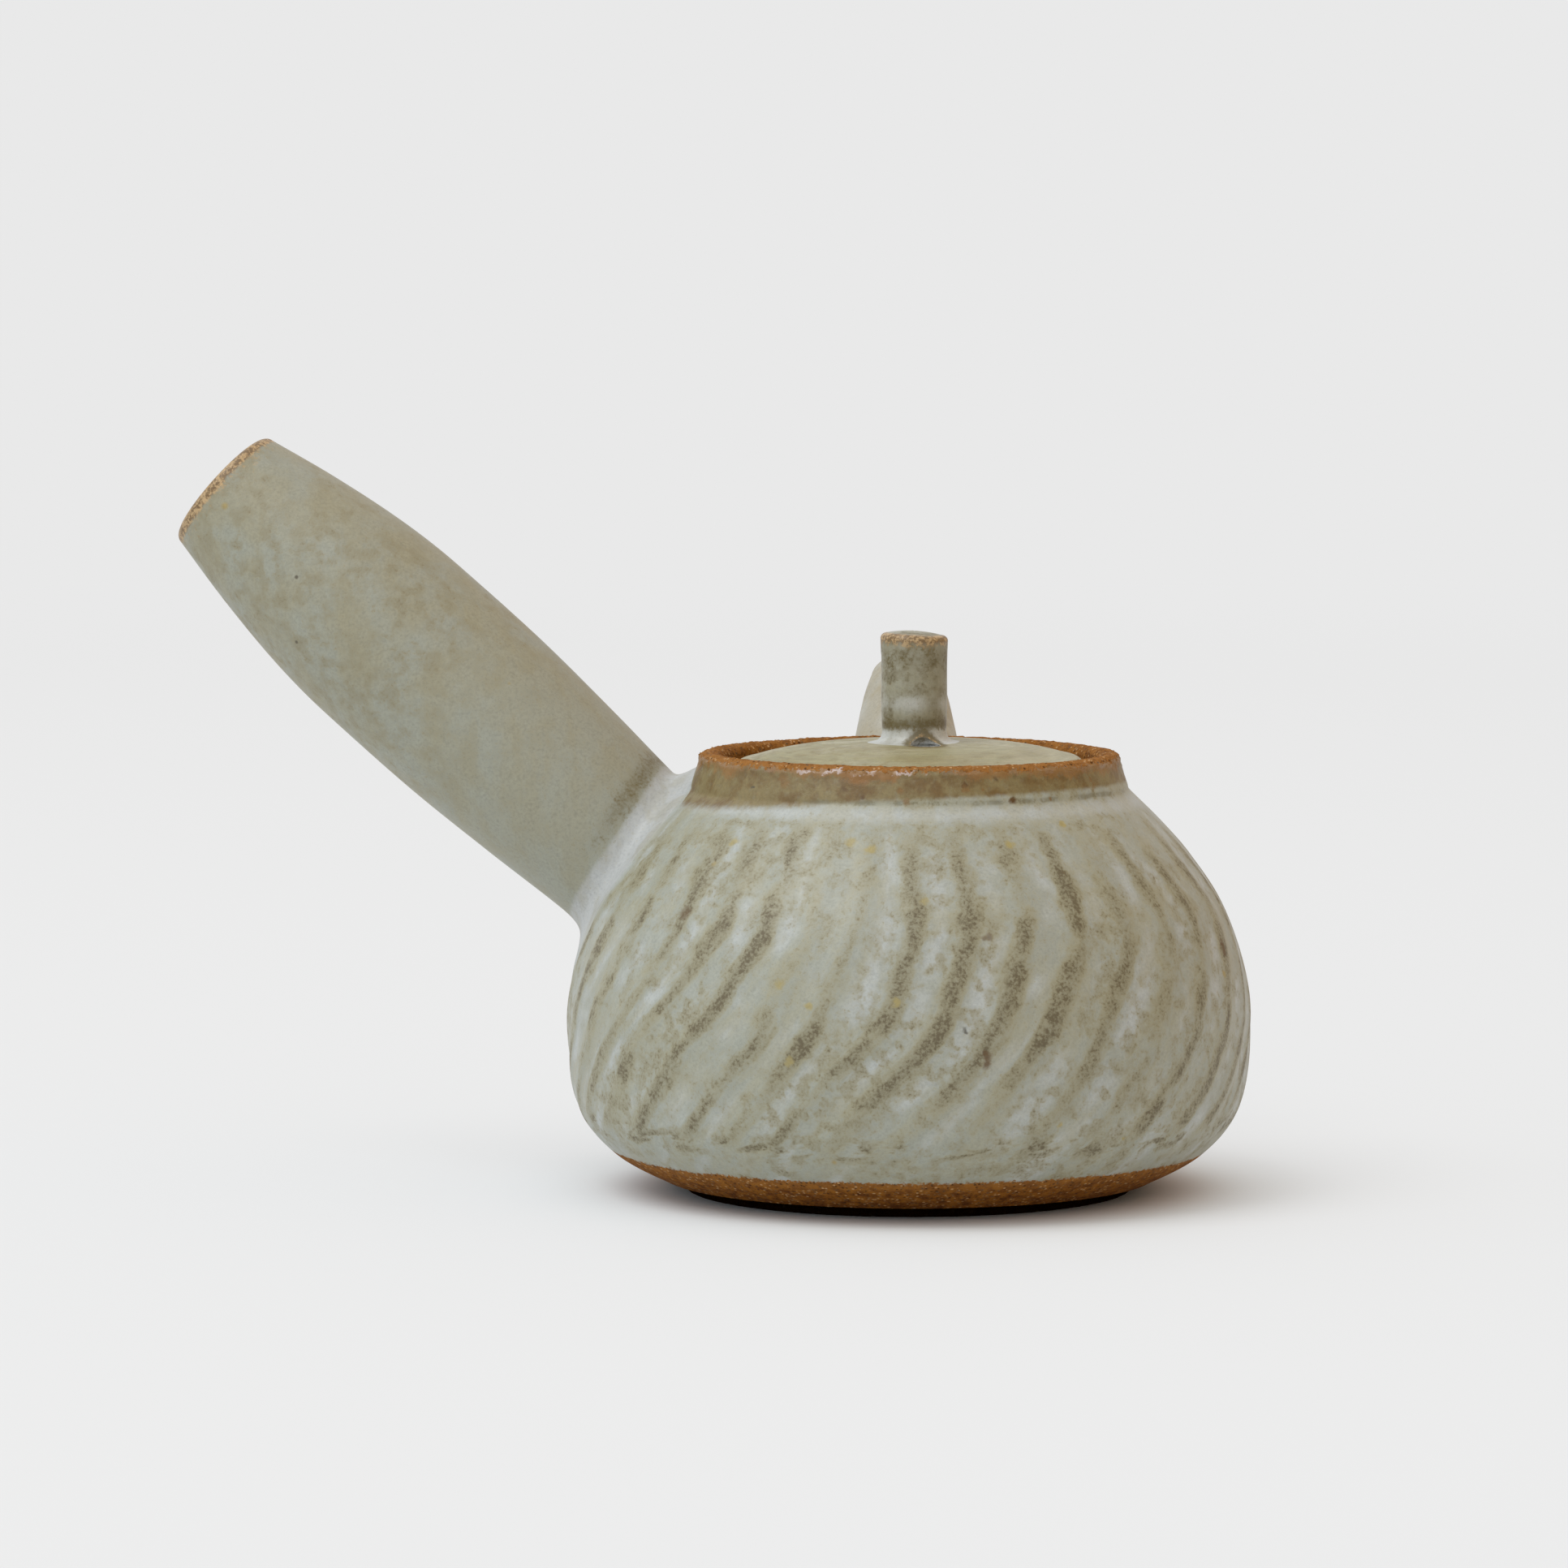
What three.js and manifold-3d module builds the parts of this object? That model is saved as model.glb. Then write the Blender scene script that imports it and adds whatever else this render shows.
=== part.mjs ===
// Side-handle teapot (yokode kyusu) in thrown and fluted stoneware.
// Millimetres, +Z up. The origin is the middle of the foot, the spout points along +Y and
// the handle leans out over -X, turned a little towards the spout.
import * as THREE from "three";
import { mergeVertices } from "three/addons/utils/BufferGeometryUtils.js";
import Module from "manifold-3d";

const wasm = await Module();
wasm.setup();

// Body: a thrown pot with a turned underside and a collar that holds the lid's gallery.
const bodyRadius = 55; // widest, over the ridges between the flutes
const bodyWidestHeight = 26;
const bodyWall = 4.4;
const floorThickness = 5.5; // from the underside of the foot to the inside
const footRadius = 36;
const footHeight = 1.5;
const footEdgeRound = 0.6;
const undersideWidth = 3.5; // flat, turned ring between the foot and the belly
const bellyEdgeRise = 0.4; // how far that edge lies above the foot's top
const rimHeight = 70.5;
const lipCrestRadius = 32;
const lipThickness = 3.8;
const lipLand = 0.3; // narrow flat on the crest between its two rounded edges
const collarHeight = 5.6; // from the crest down to the line under the collar
const collarFlare = 1.2; // how far the collar's foot stands out past the lip
const collarLineDepth = 0.5;
const collarLineWidth = 1.1;
const shoulderTopSpread = 0.9; // how far the shoulder starts outside the collar's foot
const galleryDepth = 5.5; // from the crest down to the ledge that carries the lid
const galleryLedgeThickness = 3.6;
const ledgeWidth = 4.6; // how far the ledge stands in from the gallery's wall

// Flutes: cut with a loop tool down the shoulder and belly, swept round as they go down.
const fluteCount = 36;
const fluteDepth = 0.8;
const fluteTopDrop = 11; // from the crest down to where a flute starts
const fluteFootHeight = 10; // where a flute runs out above the foot
const fluteFade = 9; // over this height a flute grows to its full depth
const fluteSweepDegrees = 21;

// Handle: a hollow thrown tube, open at its end and luted to the shoulder.
const handleAzimuthDegrees = 168;
const handleTiltDegrees = 40.6;
const handleAimHeight = 13.9; // where its axis would cross the pot's own axis
const handleLength = 89.4; // along its axis, from the shoulder to the tip
const handleRadius = 16.2;
const handleWall = 3.2;
const handleTipWall = 2.4;

// Spout: a tapered thrown tube on the far shoulder.
const spoutAzimuthDegrees = 89.5;
const spoutTiltDegrees = 45;
const spoutAimHeight = 1.5;
const spoutLength = 39;
const spoutRadius = 13.2;
const spoutWall = 2.8;
const spoutLipWall = 1.7;
const spoutPortLedge = 1.4; // wall left round the port, inside the spout's bore

// Strainer: a pierced dome luted over the port, inside the pot.
const strainerSphereRadius = 17;
const strainerBulge = 9; // how far it stands in from the wall on the spout's axis
const strainerThickness = 2.2;
const strainerHoleRadius = 0.9;
const strainerHoleSpacing = 3.5;
const strainerRings = 3; // of holes, round the one in the middle
const holesPerRing = 6; // in the first ring, and as many more in each next one

// Lid: a low dome sunk in the gallery, with a locating flange below and a vent by the knob.
const lidEdgeClearance = 1.8; // between the lid's edge and the gallery's wall
const lidEdgeThickness = 3.4;
const lidEdgeRound = 1.9;
const lidDomeRise = 3.3; // from the top of the edge to the middle
const lidThickness = 4;
const lidSeatGap = 0.3;
const flangeClearance = 1; // between the flange and the mouth
const flangeThickness = 3;
const flangeDepth = 6.8;
const flangeEdgeRound = 0.9;
const ventRadius = 1.75;
const ventAzimuthDegrees = -68;
const ventTiltDegrees = 58; // above level, pointing down towards the lid's middle
const ventOffset = 7.1; // from the knob's axis, on the lid's surface

// Knob: a small turned cylinder, a little off the middle of the lid.
const knobFootRadius = 5;
const knobTopRadius = 5.3;
const knobHeight = 16.6;
const knobEdgeRound = 0.9;
const knobCrown = 0.5; // rise of the top's middle over its edge
const knobOffset = 0.8;

// Luting coils: soft clay pressed round each joint and smoothed into a hollow curve.
const handleCoilHeight = 3;
const handleCoilWidth = 2.8;
const spoutCoilHeight = 3.8;
const spoutCoilWidth = 3.2;
const knobCoilHeight = 2;
const knobCoilWidth = 1.9;

// Pieces that touch in the fired pot are kept this far apart as solids.
const seamGap = 0.3;
const cutOverrun = 3; // how far a cutting shape runs past what it cuts
const weldTolerance = 0.001; // vertices closer than this are one vertex

// Numbers of facets.
const facetsPerFlute = 3;
const innerFacets = 40;
const tubeFacets = 28;
const coilFacets = 28;
const lidFacets = 40;
const knobFacets = 20;
const holeFacets = 6;
const strainerFacets = 20;
const strainerSteps = 4;
const ventFacets = 10;
const arcSteps = 3;

// Outline of the lower belly: share of the way from the underside's edge to the widest
// ring, and share of the height between them.
const bellyShares = [
  [0, 0],
  [0.53, 0.19],
  [0.9, 0.5],
  [1, 1],
];
// Outline of the shoulder: share of the way from the collar out to the widest ring, and
// share of the height from the widest ring up to the collar.
const shoulderShares = [
  [1, 0],
  [0.955, 0.24],
  [0.77, 0.52],
  [0.5, 0.73],
  [0.26, 0.87],
  [0, 1],
];
// Sweep of a flute: share of the rim's height, and share of the whole sweep.
const sweepShares = [
  [0, -1.35],
  [0.14, -1],
  [0.24, -0.66],
  [0.35, -0.33],
  [0.43, -0.14],
  [0.52, -0.02],
  [0.64, 0.12],
  [0.72, 0.07],
  [0.86, 0],
  [1, 0],
];
// Outline of the handle: share of its length from the shoulder, share of its radius.
const handleShares = [
  [-0.16, 0.85],
  [0.02, 0.872],
  [0.2, 0.94],
  [0.38, 0.993],
  [0.56, 1],
  [0.66, 0.985],
  [0.76, 0.93],
  [0.88, 0.825],
  [1, 0.69],
];
// Outline of the spout: share of its length from the shoulder, share of its radius.
const spoutShares = [
  [-0.3, 1.07],
  [0, 1],
  [0.4, 0.765],
  [0.7, 0.63],
  [0.88, 0.54],
  [1, 0.445],
];

// Colours of the fired surfaces.
const glazeColour = 0xb4b3a4;
const paleGlazeColour = 0xc9c9c0;
const oliveGlazeColour = 0x9b9784;
const clayColour = 0x8a5a36;

const degree = Math.PI / 180;
const fullTurn = 2 * Math.PI;

// A closed three.js geometry as a solid that can be joined and cut.
function solidOf(geometry, placement) {
  const shell = geometry.clone();
  shell.deleteAttribute("normal");
  shell.deleteAttribute("uv");
  if (placement) shell.applyMatrix4(placement);
  const merged = mergeVertices(shell, weldTolerance);
  const corners = merged.index.array;
  const triVerts = [];
  for (let i = 0; i < corners.length; i += 3) {
    const [a, b, c] = corners.slice(i, i + 3);
    if (a !== b && b !== c && c !== a) triVerts.push(a, b, c);
  }
  return new wasm.Manifold(
    new wasm.Mesh({
      numProp: 3,
      vertProperties: merged.attributes.position.array,
      triVerts: new Uint32Array(triVerts),
    }),
  );
}

// A solid as a three.js geometry with flat facets.
function geometryOf(solid) {
  const { vertProperties, triVerts } = solid.getMesh();
  const geometry = new THREE.BufferGeometry();
  geometry.setAttribute("position", new THREE.BufferAttribute(vertProperties, 3));
  geometry.setIndex(new THREE.BufferAttribute(triVerts, 1));
  const faceted = geometry.toNonIndexed();
  faceted.computeVertexNormals();
  return faceted;
}

// A shape turned on the wheel: the outline runs from the bottom of the axis round the
// outside to the top of the axis.
function turned(outline, facets) {
  return new THREE.LatheGeometry(outline, facets).rotateX(Math.PI / 2);
}

// Points along a smooth curve through hand-set points.
function smoothLine(points, steps) {
  return new THREE.SplineCurve(points).getPoints(steps);
}

// Points on an arc, from one angle to another, about a centre.
function arcPoints(centreRadius, centreHeight, arcRadius, fromDegrees, toDegrees, steps = arcSteps) {
  const points = [];
  for (let i = 0; i <= steps; i++) {
    const angle = (fromDegrees + ((toDegrees - fromDegrees) * i) / steps) * degree;
    const out = centreRadius + arcRadius * Math.cos(angle);
    const up = centreHeight + arcRadius * Math.sin(angle);
    points.push(new THREE.Vector2(out, up));
  }
  return points;
}

// Straight-line reading of a table of [key, value] pairs whose keys rise.
function readTable(table, key) {
  const last = table.length - 1;
  if (key <= table[0][0]) return table[0][1];
  if (key >= table[last][0]) return table[last][1];
  const i = table.findIndex((row) => row[0] > key);
  const [lowKey, lowValue] = table[i - 1];
  const [highKey, highValue] = table[i];
  return lowValue + ((highValue - lowValue) * (key - lowKey)) / (highKey - lowKey);
}

// An open outline moved sideways by a distance, to the right of its way along.
function offsetOutline(points, distance) {
  return points.map((point, i) => {
    const before = points[Math.max(i - 1, 0)];
    const after = points[Math.min(i + 1, points.length - 1)];
    const along = after.clone().sub(before).normalize();
    return new THREE.Vector2(point.x + distance * along.y, point.y - distance * along.x);
  });
}

// Heights and radii that several pieces share.
const lipOuterRadius = lipCrestRadius + lipThickness / 2;
const lipInnerRadius = lipCrestRadius - lipThickness / 2;
const lipRound = (lipThickness - lipLand) / 2;
const lipRoundHeight = rimHeight - lipRound;
const collarLineHeight = rimHeight - collarHeight;
const collarFootRadius = lipOuterRadius + collarFlare;
const shoulderTopRadius = collarFootRadius + shoulderTopSpread;
const shoulderTopHeight = collarLineHeight - collarLineWidth;
const bellyEdgeRadius = footRadius + undersideWidth;
const bellyEdgeHeight = footHeight + bellyEdgeRise;
const ledgeHeight = rimHeight - galleryDepth;
const mouthRadius = lipInnerRadius - ledgeWidth;

// The belly and shoulder as one line, from the underside's edge up to the collar.
const bellySteps = 13;
function bellyLine() {
  const points = bellyShares.map(
    ([outShare, upShare]) =>
      new THREE.Vector2(
        bellyEdgeRadius + (bodyRadius - bellyEdgeRadius) * outShare,
        bellyEdgeHeight + (bodyWidestHeight - bellyEdgeHeight) * upShare,
      ),
  );
  const shoulder = shoulderShares.map(
    ([outShare, upShare]) =>
      new THREE.Vector2(
        shoulderTopRadius + (bodyRadius - shoulderTopRadius) * outShare,
        bodyWidestHeight + (shoulderTopHeight - bodyWidestHeight) * upShare,
      ),
  );
  return smoothLine([...points, ...shoulder.slice(1)], bellySteps);
}
const belly = bellyLine();

// The pot's outside, from the middle of the foot up to the crest.
function outsideLine() {
  const line = [
    new THREE.Vector2(0, 0),
    new THREE.Vector2(footRadius - footEdgeRound, 0),
    new THREE.Vector2(footRadius, footEdgeRound),
    new THREE.Vector2(footRadius, footHeight),
    ...belly,
    new THREE.Vector2(collarFootRadius - collarLineDepth, collarLineHeight - collarLineWidth / 2),
    new THREE.Vector2(collarFootRadius, collarLineHeight),
    ...arcPoints(lipOuterRadius - lipRound, lipRoundHeight, lipRound, 0, 90),
  ];
  return line;
}
const outside = outsideLine();

// How deep a flute is at a height.
function fluteDepthAt(height) {
  const fromTop = (rimHeight - fluteTopDrop - height) / fluteFade;
  const fromFoot = (height - fluteFootHeight) / fluteFade;
  const grown = Math.min(Math.max(Math.min(fromTop, fromFoot), 0), 1);
  return fluteDepth * Math.sin((grown * Math.PI) / 2);
}

// How far round a flute has swept at a height.
function fluteSweepAt(height) {
  return readTable(sweepShares, height / rimHeight) * fluteSweepDegrees * degree;
}

// The pot's outside as a closed shape: rings of points that are turned along the flutes'
// sweep, with a ridge at every third point and the cut between, and a point at each end
// of the axis.
function flutedBlank() {
  const columns = fluteCount * facetsPerFlute;
  const rings = outside.slice(1);
  const positions = [0, 0, 0];
  for (const ring of rings) {
    const depth = fluteDepthAt(ring.y);
    const sweep = fluteSweepAt(ring.y);
    for (let c = 0; c < columns; c++) {
      const angle = (fullTurn * c) / columns + sweep;
      const radius = ring.x - (c % facetsPerFlute === 0 ? 0 : depth);
      positions.push(radius * Math.cos(angle), radius * Math.sin(angle), ring.y);
    }
  }
  positions.push(0, 0, rimHeight);
  const top = positions.length / 3 - 1;
  const indices = [];
  const pointAt = (r, c) => 1 + r * columns + (c % columns);
  for (let c = 0; c < columns; c++) {
    indices.push(0, pointAt(0, c + 1), pointAt(0, c));
    indices.push(top, pointAt(rings.length - 1, c), pointAt(rings.length - 1, c + 1));
    for (let r = 0; r + 1 < rings.length; r++) {
      indices.push(pointAt(r, c), pointAt(r, c + 1), pointAt(r + 1, c + 1));
      indices.push(pointAt(r, c), pointAt(r + 1, c + 1), pointAt(r + 1, c));
    }
  }
  const geometry = new THREE.BufferGeometry();
  geometry.setAttribute("position", new THREE.Float32BufferAttribute(positions, 3));
  geometry.setIndex(indices);
  return geometry;
}

// The room inside the pot, up through the mouth and the gallery. The wall is as thick as
// asked, so a thicker one gives the room that a piece inside may fill.
function insideRoom(wall) {
  const extra = wall - bodyWall;
  const floor = floorThickness + extra;
  const ledgeUnderside = ledgeHeight - galleryLedgeThickness - extra;
  const wallLine = offsetOutline(belly, -wall).filter(
    (point) => point.y > floor + footEdgeRound && point.y < ledgeUnderside,
  );
  const flatRadius = wallLine[0].x - (wallLine[0].y - floor);
  const outline = [
    new THREE.Vector2(0, floor),
    new THREE.Vector2(flatRadius, floor),
    ...wallLine,
    new THREE.Vector2(mouthRadius - extra, ledgeUnderside),
    new THREE.Vector2(mouthRadius - extra, ledgeHeight),
    new THREE.Vector2(lipInnerRadius, ledgeHeight),
    ...arcPoints(lipInnerRadius + lipRound, lipRoundHeight, lipRound, 180, 90),
    new THREE.Vector2(lipInnerRadius + lipRound, rimHeight + cutOverrun),
    new THREE.Vector2(0, rimHeight + cutOverrun),
  ];
  return turned(outline, innerFacets);
}

// The pot's outside over its ridges, grown by the seam gap, that tubes are cut with.
function grownOutside() {
  const cornerGrowth = 1 / Math.cos(Math.PI / innerFacets);
  const grown = offsetOutline(outside.slice(1), seamGap);
  const line = grown.map((point) => new THREE.Vector2(point.x * cornerGrowth, point.y));
  const bottom = new THREE.Vector2(0, line[0].y);
  const top = new THREE.Vector2(0, line[line.length - 1].y);
  return turned([bottom, ...line, top], innerFacets);
}
const bodyEnvelope = grownOutside();

// A frame whose +Z runs out along a tube's axis from the pot's own axis, with +X level.
function tubeFrame(azimuthDegrees, tiltDegrees, aimHeight) {
  const azimuth = azimuthDegrees * degree;
  const tilt = tiltDegrees * degree;
  const level = Math.cos(tilt);
  const out = new THREE.Vector3(
    Math.cos(azimuth) * level,
    Math.sin(azimuth) * level,
    Math.sin(tilt),
  );
  const side = new THREE.Vector3(-Math.sin(azimuth), Math.cos(azimuth), 0);
  const up = new THREE.Vector3().crossVectors(out, side);
  return new THREE.Matrix4().makeBasis(side, up, out).setPosition(0, 0, aimHeight);
}
const handleFrame = tubeFrame(handleAzimuthDegrees, handleTiltDegrees, handleAimHeight);
const spoutFrame = tubeFrame(spoutAzimuthDegrees, spoutTiltDegrees, spoutAimHeight);

// Radius of the pot over its ridges at a height.
const outsideTable = outside.slice(3).map((point) => [point.y, point.x]);
function outsideRadiusAt(height) {
  if (height > rimHeight || height < 0) return 0;
  return readTable(outsideTable, height);
}

// How far out along a tube's frame a line at an angle and distance from the tube's axis
// leaves the pot, found by halving.
const halvings = 30;
function wallDistance(frame, radius, angle) {
  const point = new THREE.Vector3();
  let inner = 0;
  let outer = bodyRadius + rimHeight;
  for (let i = 0; i < halvings; i++) {
    const middle = (inner + outer) / 2;
    point.set(radius * Math.cos(angle), radius * Math.sin(angle), middle);
    point.applyMatrix4(frame);
    const inPot = Math.hypot(point.x, point.y) < outsideRadiusAt(point.z);
    if (inPot) inner = middle;
    else outer = middle;
  }
  return outer;
}

// A tube's outline in its own frame, measured out from the shoulder.
function tubeLine(shares, start, length, radius, steps) {
  const points = shares.map(
    ([lengthShare, radiusShare]) =>
      new THREE.Vector2(radius * radiusShare, start + length * lengthShare),
  );
  return smoothLine(points, steps);
}

// A hollow tube with a rounded open lip: out along the outside and back along the bore.
// The outline is closed, with its end on its start.
function hollowTube(outerLine, wall, lipWall) {
  const last = outerLine.length - 1;
  const tip = outerLine[last];
  const thinning = outerLine.map((point, i) => {
    const share = i / last;
    return wall + (lipWall - wall) * share * share;
  });
  const bore = outerLine
    .map((point, i) => new THREE.Vector2(point.x - thinning[i], point.y))
    .filter((point, i) => i < last && i % 2 === 0);
  const lip = arcPoints(tip.x - lipWall / 2, tip.y, lipWall / 2, 0, 180);
  const outline = [...outerLine.slice(0, last), ...lip, ...bore.reverse()];
  return turned([...outline, outline[0].clone()], tubeFacets);
}

// A solid rod inside a tube's outline, grown by a distance, to cut other pieces with.
function grownRod(outerLine, growth) {
  const last = outerLine.length - 1;
  const line = outerLine.map((point) => new THREE.Vector2(point.x + growth, point.y));
  const bottom = new THREE.Vector2(0, line[0].y);
  const top = new THREE.Vector2(0, line[last].y);
  return turned([bottom, ...line, top], tubeFacets);
}

// A luting coil round the joint of a tube and the pot. At each angle its section runs from
// a point up the tube, down a hollow curve to a point out on the pot, and back below both
// surfaces. The tube and the pot, grown by the seam gap, are then cut out of it.
function lutingCoil(frame, outerLine, height, width) {
  const table = outerLine.map((point) => [point.y, point.x]);
  const sections = [];
  for (let i = 0; i < coilFacets; i++) {
    const angle = (fullTurn * i) / coilFacets;
    const footRadiusHere = readTable(table, wallDistance(frame, outerLine[0].x, angle));
    const joint = wallDistance(frame, footRadiusHere, angle);
    const rest = wallDistance(frame, footRadiusHere + width, angle);
    const onTube = new THREE.Vector2(readTable(table, joint + height), joint + height);
    const corner = new THREE.Vector2(footRadiusHere, joint);
    const onPot = new THREE.Vector2(footRadiusHere + width, rest);
    const hollow = new THREE.QuadraticBezierCurve(onTube, corner, onPot);
    const section = [
      ...hollow.getPoints(arcSteps + 1),
      new THREE.Vector2(onPot.x, onPot.y - cutOverrun),
      new THREE.Vector2(corner.x - cutOverrun / 2, Math.min(corner.y, onPot.y) - cutOverrun),
      new THREE.Vector2(onTube.x - cutOverrun / 2, onTube.y),
    ];
    sections.push({ angle, section });
  }
  const count = sections[0].section.length;
  const positions = [];
  for (const { angle, section } of sections)
    for (const point of section)
      positions.push(point.x * Math.cos(angle), point.x * Math.sin(angle), point.y);
  const indices = [];
  const pointAt = (s, p) => (s % coilFacets) * count + (p % count);
  for (let s = 0; s < coilFacets; s++)
    for (let p = 0; p < count; p++) {
      indices.push(pointAt(s, p), pointAt(s, p + 1), pointAt(s + 1, p + 1));
      indices.push(pointAt(s, p), pointAt(s + 1, p + 1), pointAt(s + 1, p));
    }
  const geometry = new THREE.BufferGeometry();
  geometry.setAttribute("position", new THREE.Float32BufferAttribute(positions, 3));
  geometry.setIndex(indices);
  const envelope = solidOf(bodyEnvelope, frame.clone().invert());
  const rod = solidOf(grownRod(outerLine, seamGap));
  return geometryOf(solidOf(geometry).subtract(envelope).subtract(rod));
}

// A mesh with its name and finish.
function piece(name, geometry, colour, roughness) {
  const material = new THREE.MeshStandardMaterial({ color: colour, roughness, metalness: 0 });
  const mesh = new THREE.Mesh(geometry, material);
  mesh.name = name;
  return mesh;
}

// A group placed by a matrix.
function placedGroup(matrix, ...members) {
  const group = new THREE.Group();
  group.applyMatrix4(matrix);
  group.add(...members);
  return group;
}

// Where the handle and the spout leave the shoulder, along their own axes.
const handleStart = wallDistance(handleFrame, 0, 0);
const spoutStart = wallDistance(spoutFrame, 0, 0);
const handleSteps = 12;
const spoutSteps = 10;
const handleLine = tubeLine(handleShares, handleStart, handleLength, handleRadius, handleSteps);
const spoutLine = tubeLine(spoutShares, spoutStart, spoutLength, spoutRadius, spoutSteps);

// The pot, with the port for the spout through its wall.
function makeBody() {
  const portRadius = spoutRadius - spoutWall - spoutPortLedge;
  const portInner = spoutStart - 2 * bodyWall - cutOverrun;
  const portOuter = spoutStart + cutOverrun;
  const portLine = [
    new THREE.Vector2(0, portInner),
    new THREE.Vector2(portRadius, portInner),
    new THREE.Vector2(portRadius, portOuter),
    new THREE.Vector2(0, portOuter),
  ];
  const port = solidOf(turned(portLine, tubeFacets), spoutFrame);
  const room = solidOf(insideRoom(bodyWall));
  return geometryOf(solidOf(flutedBlank()).subtract(room).subtract(port));
}

// A tube with the pot cut away from its root.
function makeTube(frame, outerLine, wall, lipWall) {
  const tube = solidOf(hollowTube(outerLine, wall, lipWall));
  return geometryOf(tube.subtract(solidOf(bodyEnvelope, frame.clone().invert())));
}

// The strainer: half a spherical shell that bulges into the pot, cut off a seam gap short
// of the wall, with rings of holes that point at the sphere's middle.
function makeStrainer() {
  const centre = spoutStart - bodyWall + strainerSphereRadius - strainerBulge;
  const hollowRadius = strainerSphereRadius - strainerThickness;
  const outline = [
    ...arcPoints(0, centre, strainerSphereRadius, -90, 0, strainerSteps),
    ...arcPoints(0, centre, hollowRadius, 0, -90, strainerSteps),
  ];
  const room = solidOf(insideRoom(bodyWall + seamGap), spoutFrame.clone().invert());
  let shell = solidOf(turned(outline, strainerFacets)).intersect(room);
  const drillLength = strainerThickness + cutOverrun;
  for (let ring = 0; ring <= strainerRings; ring++) {
    const count = ring === 0 ? 1 : holesPerRing * ring;
    const lean = (ring * strainerHoleSpacing) / strainerSphereRadius;
    for (let i = 0; i < count; i++) {
      const radius = strainerHoleRadius;
      const drill = new THREE.CylinderGeometry(radius, radius, drillLength, holeFacets);
      drill.translate(0, strainerThickness / 2 - strainerSphereRadius, 0);
      drill.rotateX(Math.PI / 2 - lean);
      drill.rotateZ((fullTurn * i) / count);
      drill.translate(0, 0, centre);
      shell = shell.subtract(solidOf(drill));
    }
  }
  return geometryOf(shell);
}

// The lid's heights above its seat.
const lidRadius = lipInnerRadius - lidEdgeClearance;
const flangeOuterRadius = mouthRadius - flangeClearance;
const flangeInnerRadius = flangeOuterRadius - flangeThickness;
const lidTop = lidEdgeThickness + lidDomeRise;
const lidEdgeTopRadius = lidRadius - lidEdgeRound;

// Height of the lid's dome at a distance from its middle.
function domeHeightAt(radius) {
  const share = radius / lidEdgeTopRadius;
  return lidTop - lidDomeRise * share * share;
}

// The vent's drill, from above the lid's surface by the knob down through to its inside.
function ventDrill() {
  const length = lidThickness + knobHeight;
  const drill = new THREE.CylinderGeometry(ventRadius, ventRadius, length, ventFacets);
  drill.rotateZ(Math.PI / 2);
  drill.rotateY(-ventTiltDegrees * degree);
  drill.translate(ventOffset, 0, domeHeightAt(ventOffset));
  drill.rotateZ(ventAzimuthDegrees * degree);
  drill.translate(knobOffset, 0, 0);
  return drill;
}

function makeLid() {
  const domeSteps = 4;
  const dome = [];
  for (let i = 0; i <= domeSteps; i++) {
    const radius = lidEdgeTopRadius * (1 - i / domeSteps);
    dome.push(new THREE.Vector2(radius, domeHeightAt(radius)));
  }
  const outline = [
    new THREE.Vector2(0, lidTop - lidThickness),
    new THREE.Vector2(flangeInnerRadius - flangeEdgeRound, lidEdgeThickness - lidThickness / 2),
    new THREE.Vector2(flangeInnerRadius, -flangeEdgeRound),
    new THREE.Vector2(flangeInnerRadius, flangeEdgeRound - flangeDepth),
    new THREE.Vector2(flangeInnerRadius + flangeEdgeRound, -flangeDepth),
    new THREE.Vector2(flangeOuterRadius - flangeEdgeRound, -flangeDepth),
    new THREE.Vector2(flangeOuterRadius, flangeEdgeRound - flangeDepth),
    new THREE.Vector2(flangeOuterRadius, 0),
    new THREE.Vector2(lidRadius - flangeEdgeRound, 0),
    new THREE.Vector2(lidRadius, flangeEdgeRound),
    ...arcPoints(lidEdgeTopRadius, lidEdgeThickness - lidEdgeRound, lidEdgeRound, 0, 90),
    ...dome.slice(1),
  ];
  return geometryOf(solidOf(turned(outline, lidFacets)).subtract(solidOf(ventDrill())));
}

// The vent's drill as the knob's own frame sees it.
function ventInKnobFrame() {
  return ventDrill().translate(-knobOffset, 0, -lidTop - seamGap);
}

function makeKnob() {
  const topRadius = knobTopRadius - knobEdgeRound;
  const outline = [
    new THREE.Vector2(0, 0),
    new THREE.Vector2(knobFootRadius, 0),
    ...arcPoints(topRadius, knobHeight - knobCrown - knobEdgeRound, knobEdgeRound, 0, 90),
    new THREE.Vector2(0, knobHeight),
  ];
  return geometryOf(solidOf(turned(outline, knobFacets)).subtract(solidOf(ventInKnobFrame())));
}

// The coil at the knob's foot: its underside follows the lid's dome.
function makeKnobCoil() {
  const inner = knobFootRadius + seamGap * 2;
  const outer = inner + knobCoilWidth;
  const domeDrop = lidTop - domeHeightAt(outer + knobOffset);
  const curve = new THREE.QuadraticBezierCurve(
    new THREE.Vector2(outer, -domeDrop + seamGap),
    new THREE.Vector2(inner + seamGap, seamGap),
    new THREE.Vector2(inner + seamGap, knobCoilHeight),
  );
  const outline = [
    new THREE.Vector2(inner, 0),
    new THREE.Vector2(outer, -domeDrop),
    ...curve.getPoints(arcSteps + 1),
    new THREE.Vector2(inner, knobCoilHeight),
    new THREE.Vector2(inner, 0),
  ];
  return geometryOf(solidOf(turned(outline, knobFacets)).subtract(solidOf(ventInKnobFrame())));
}

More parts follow.
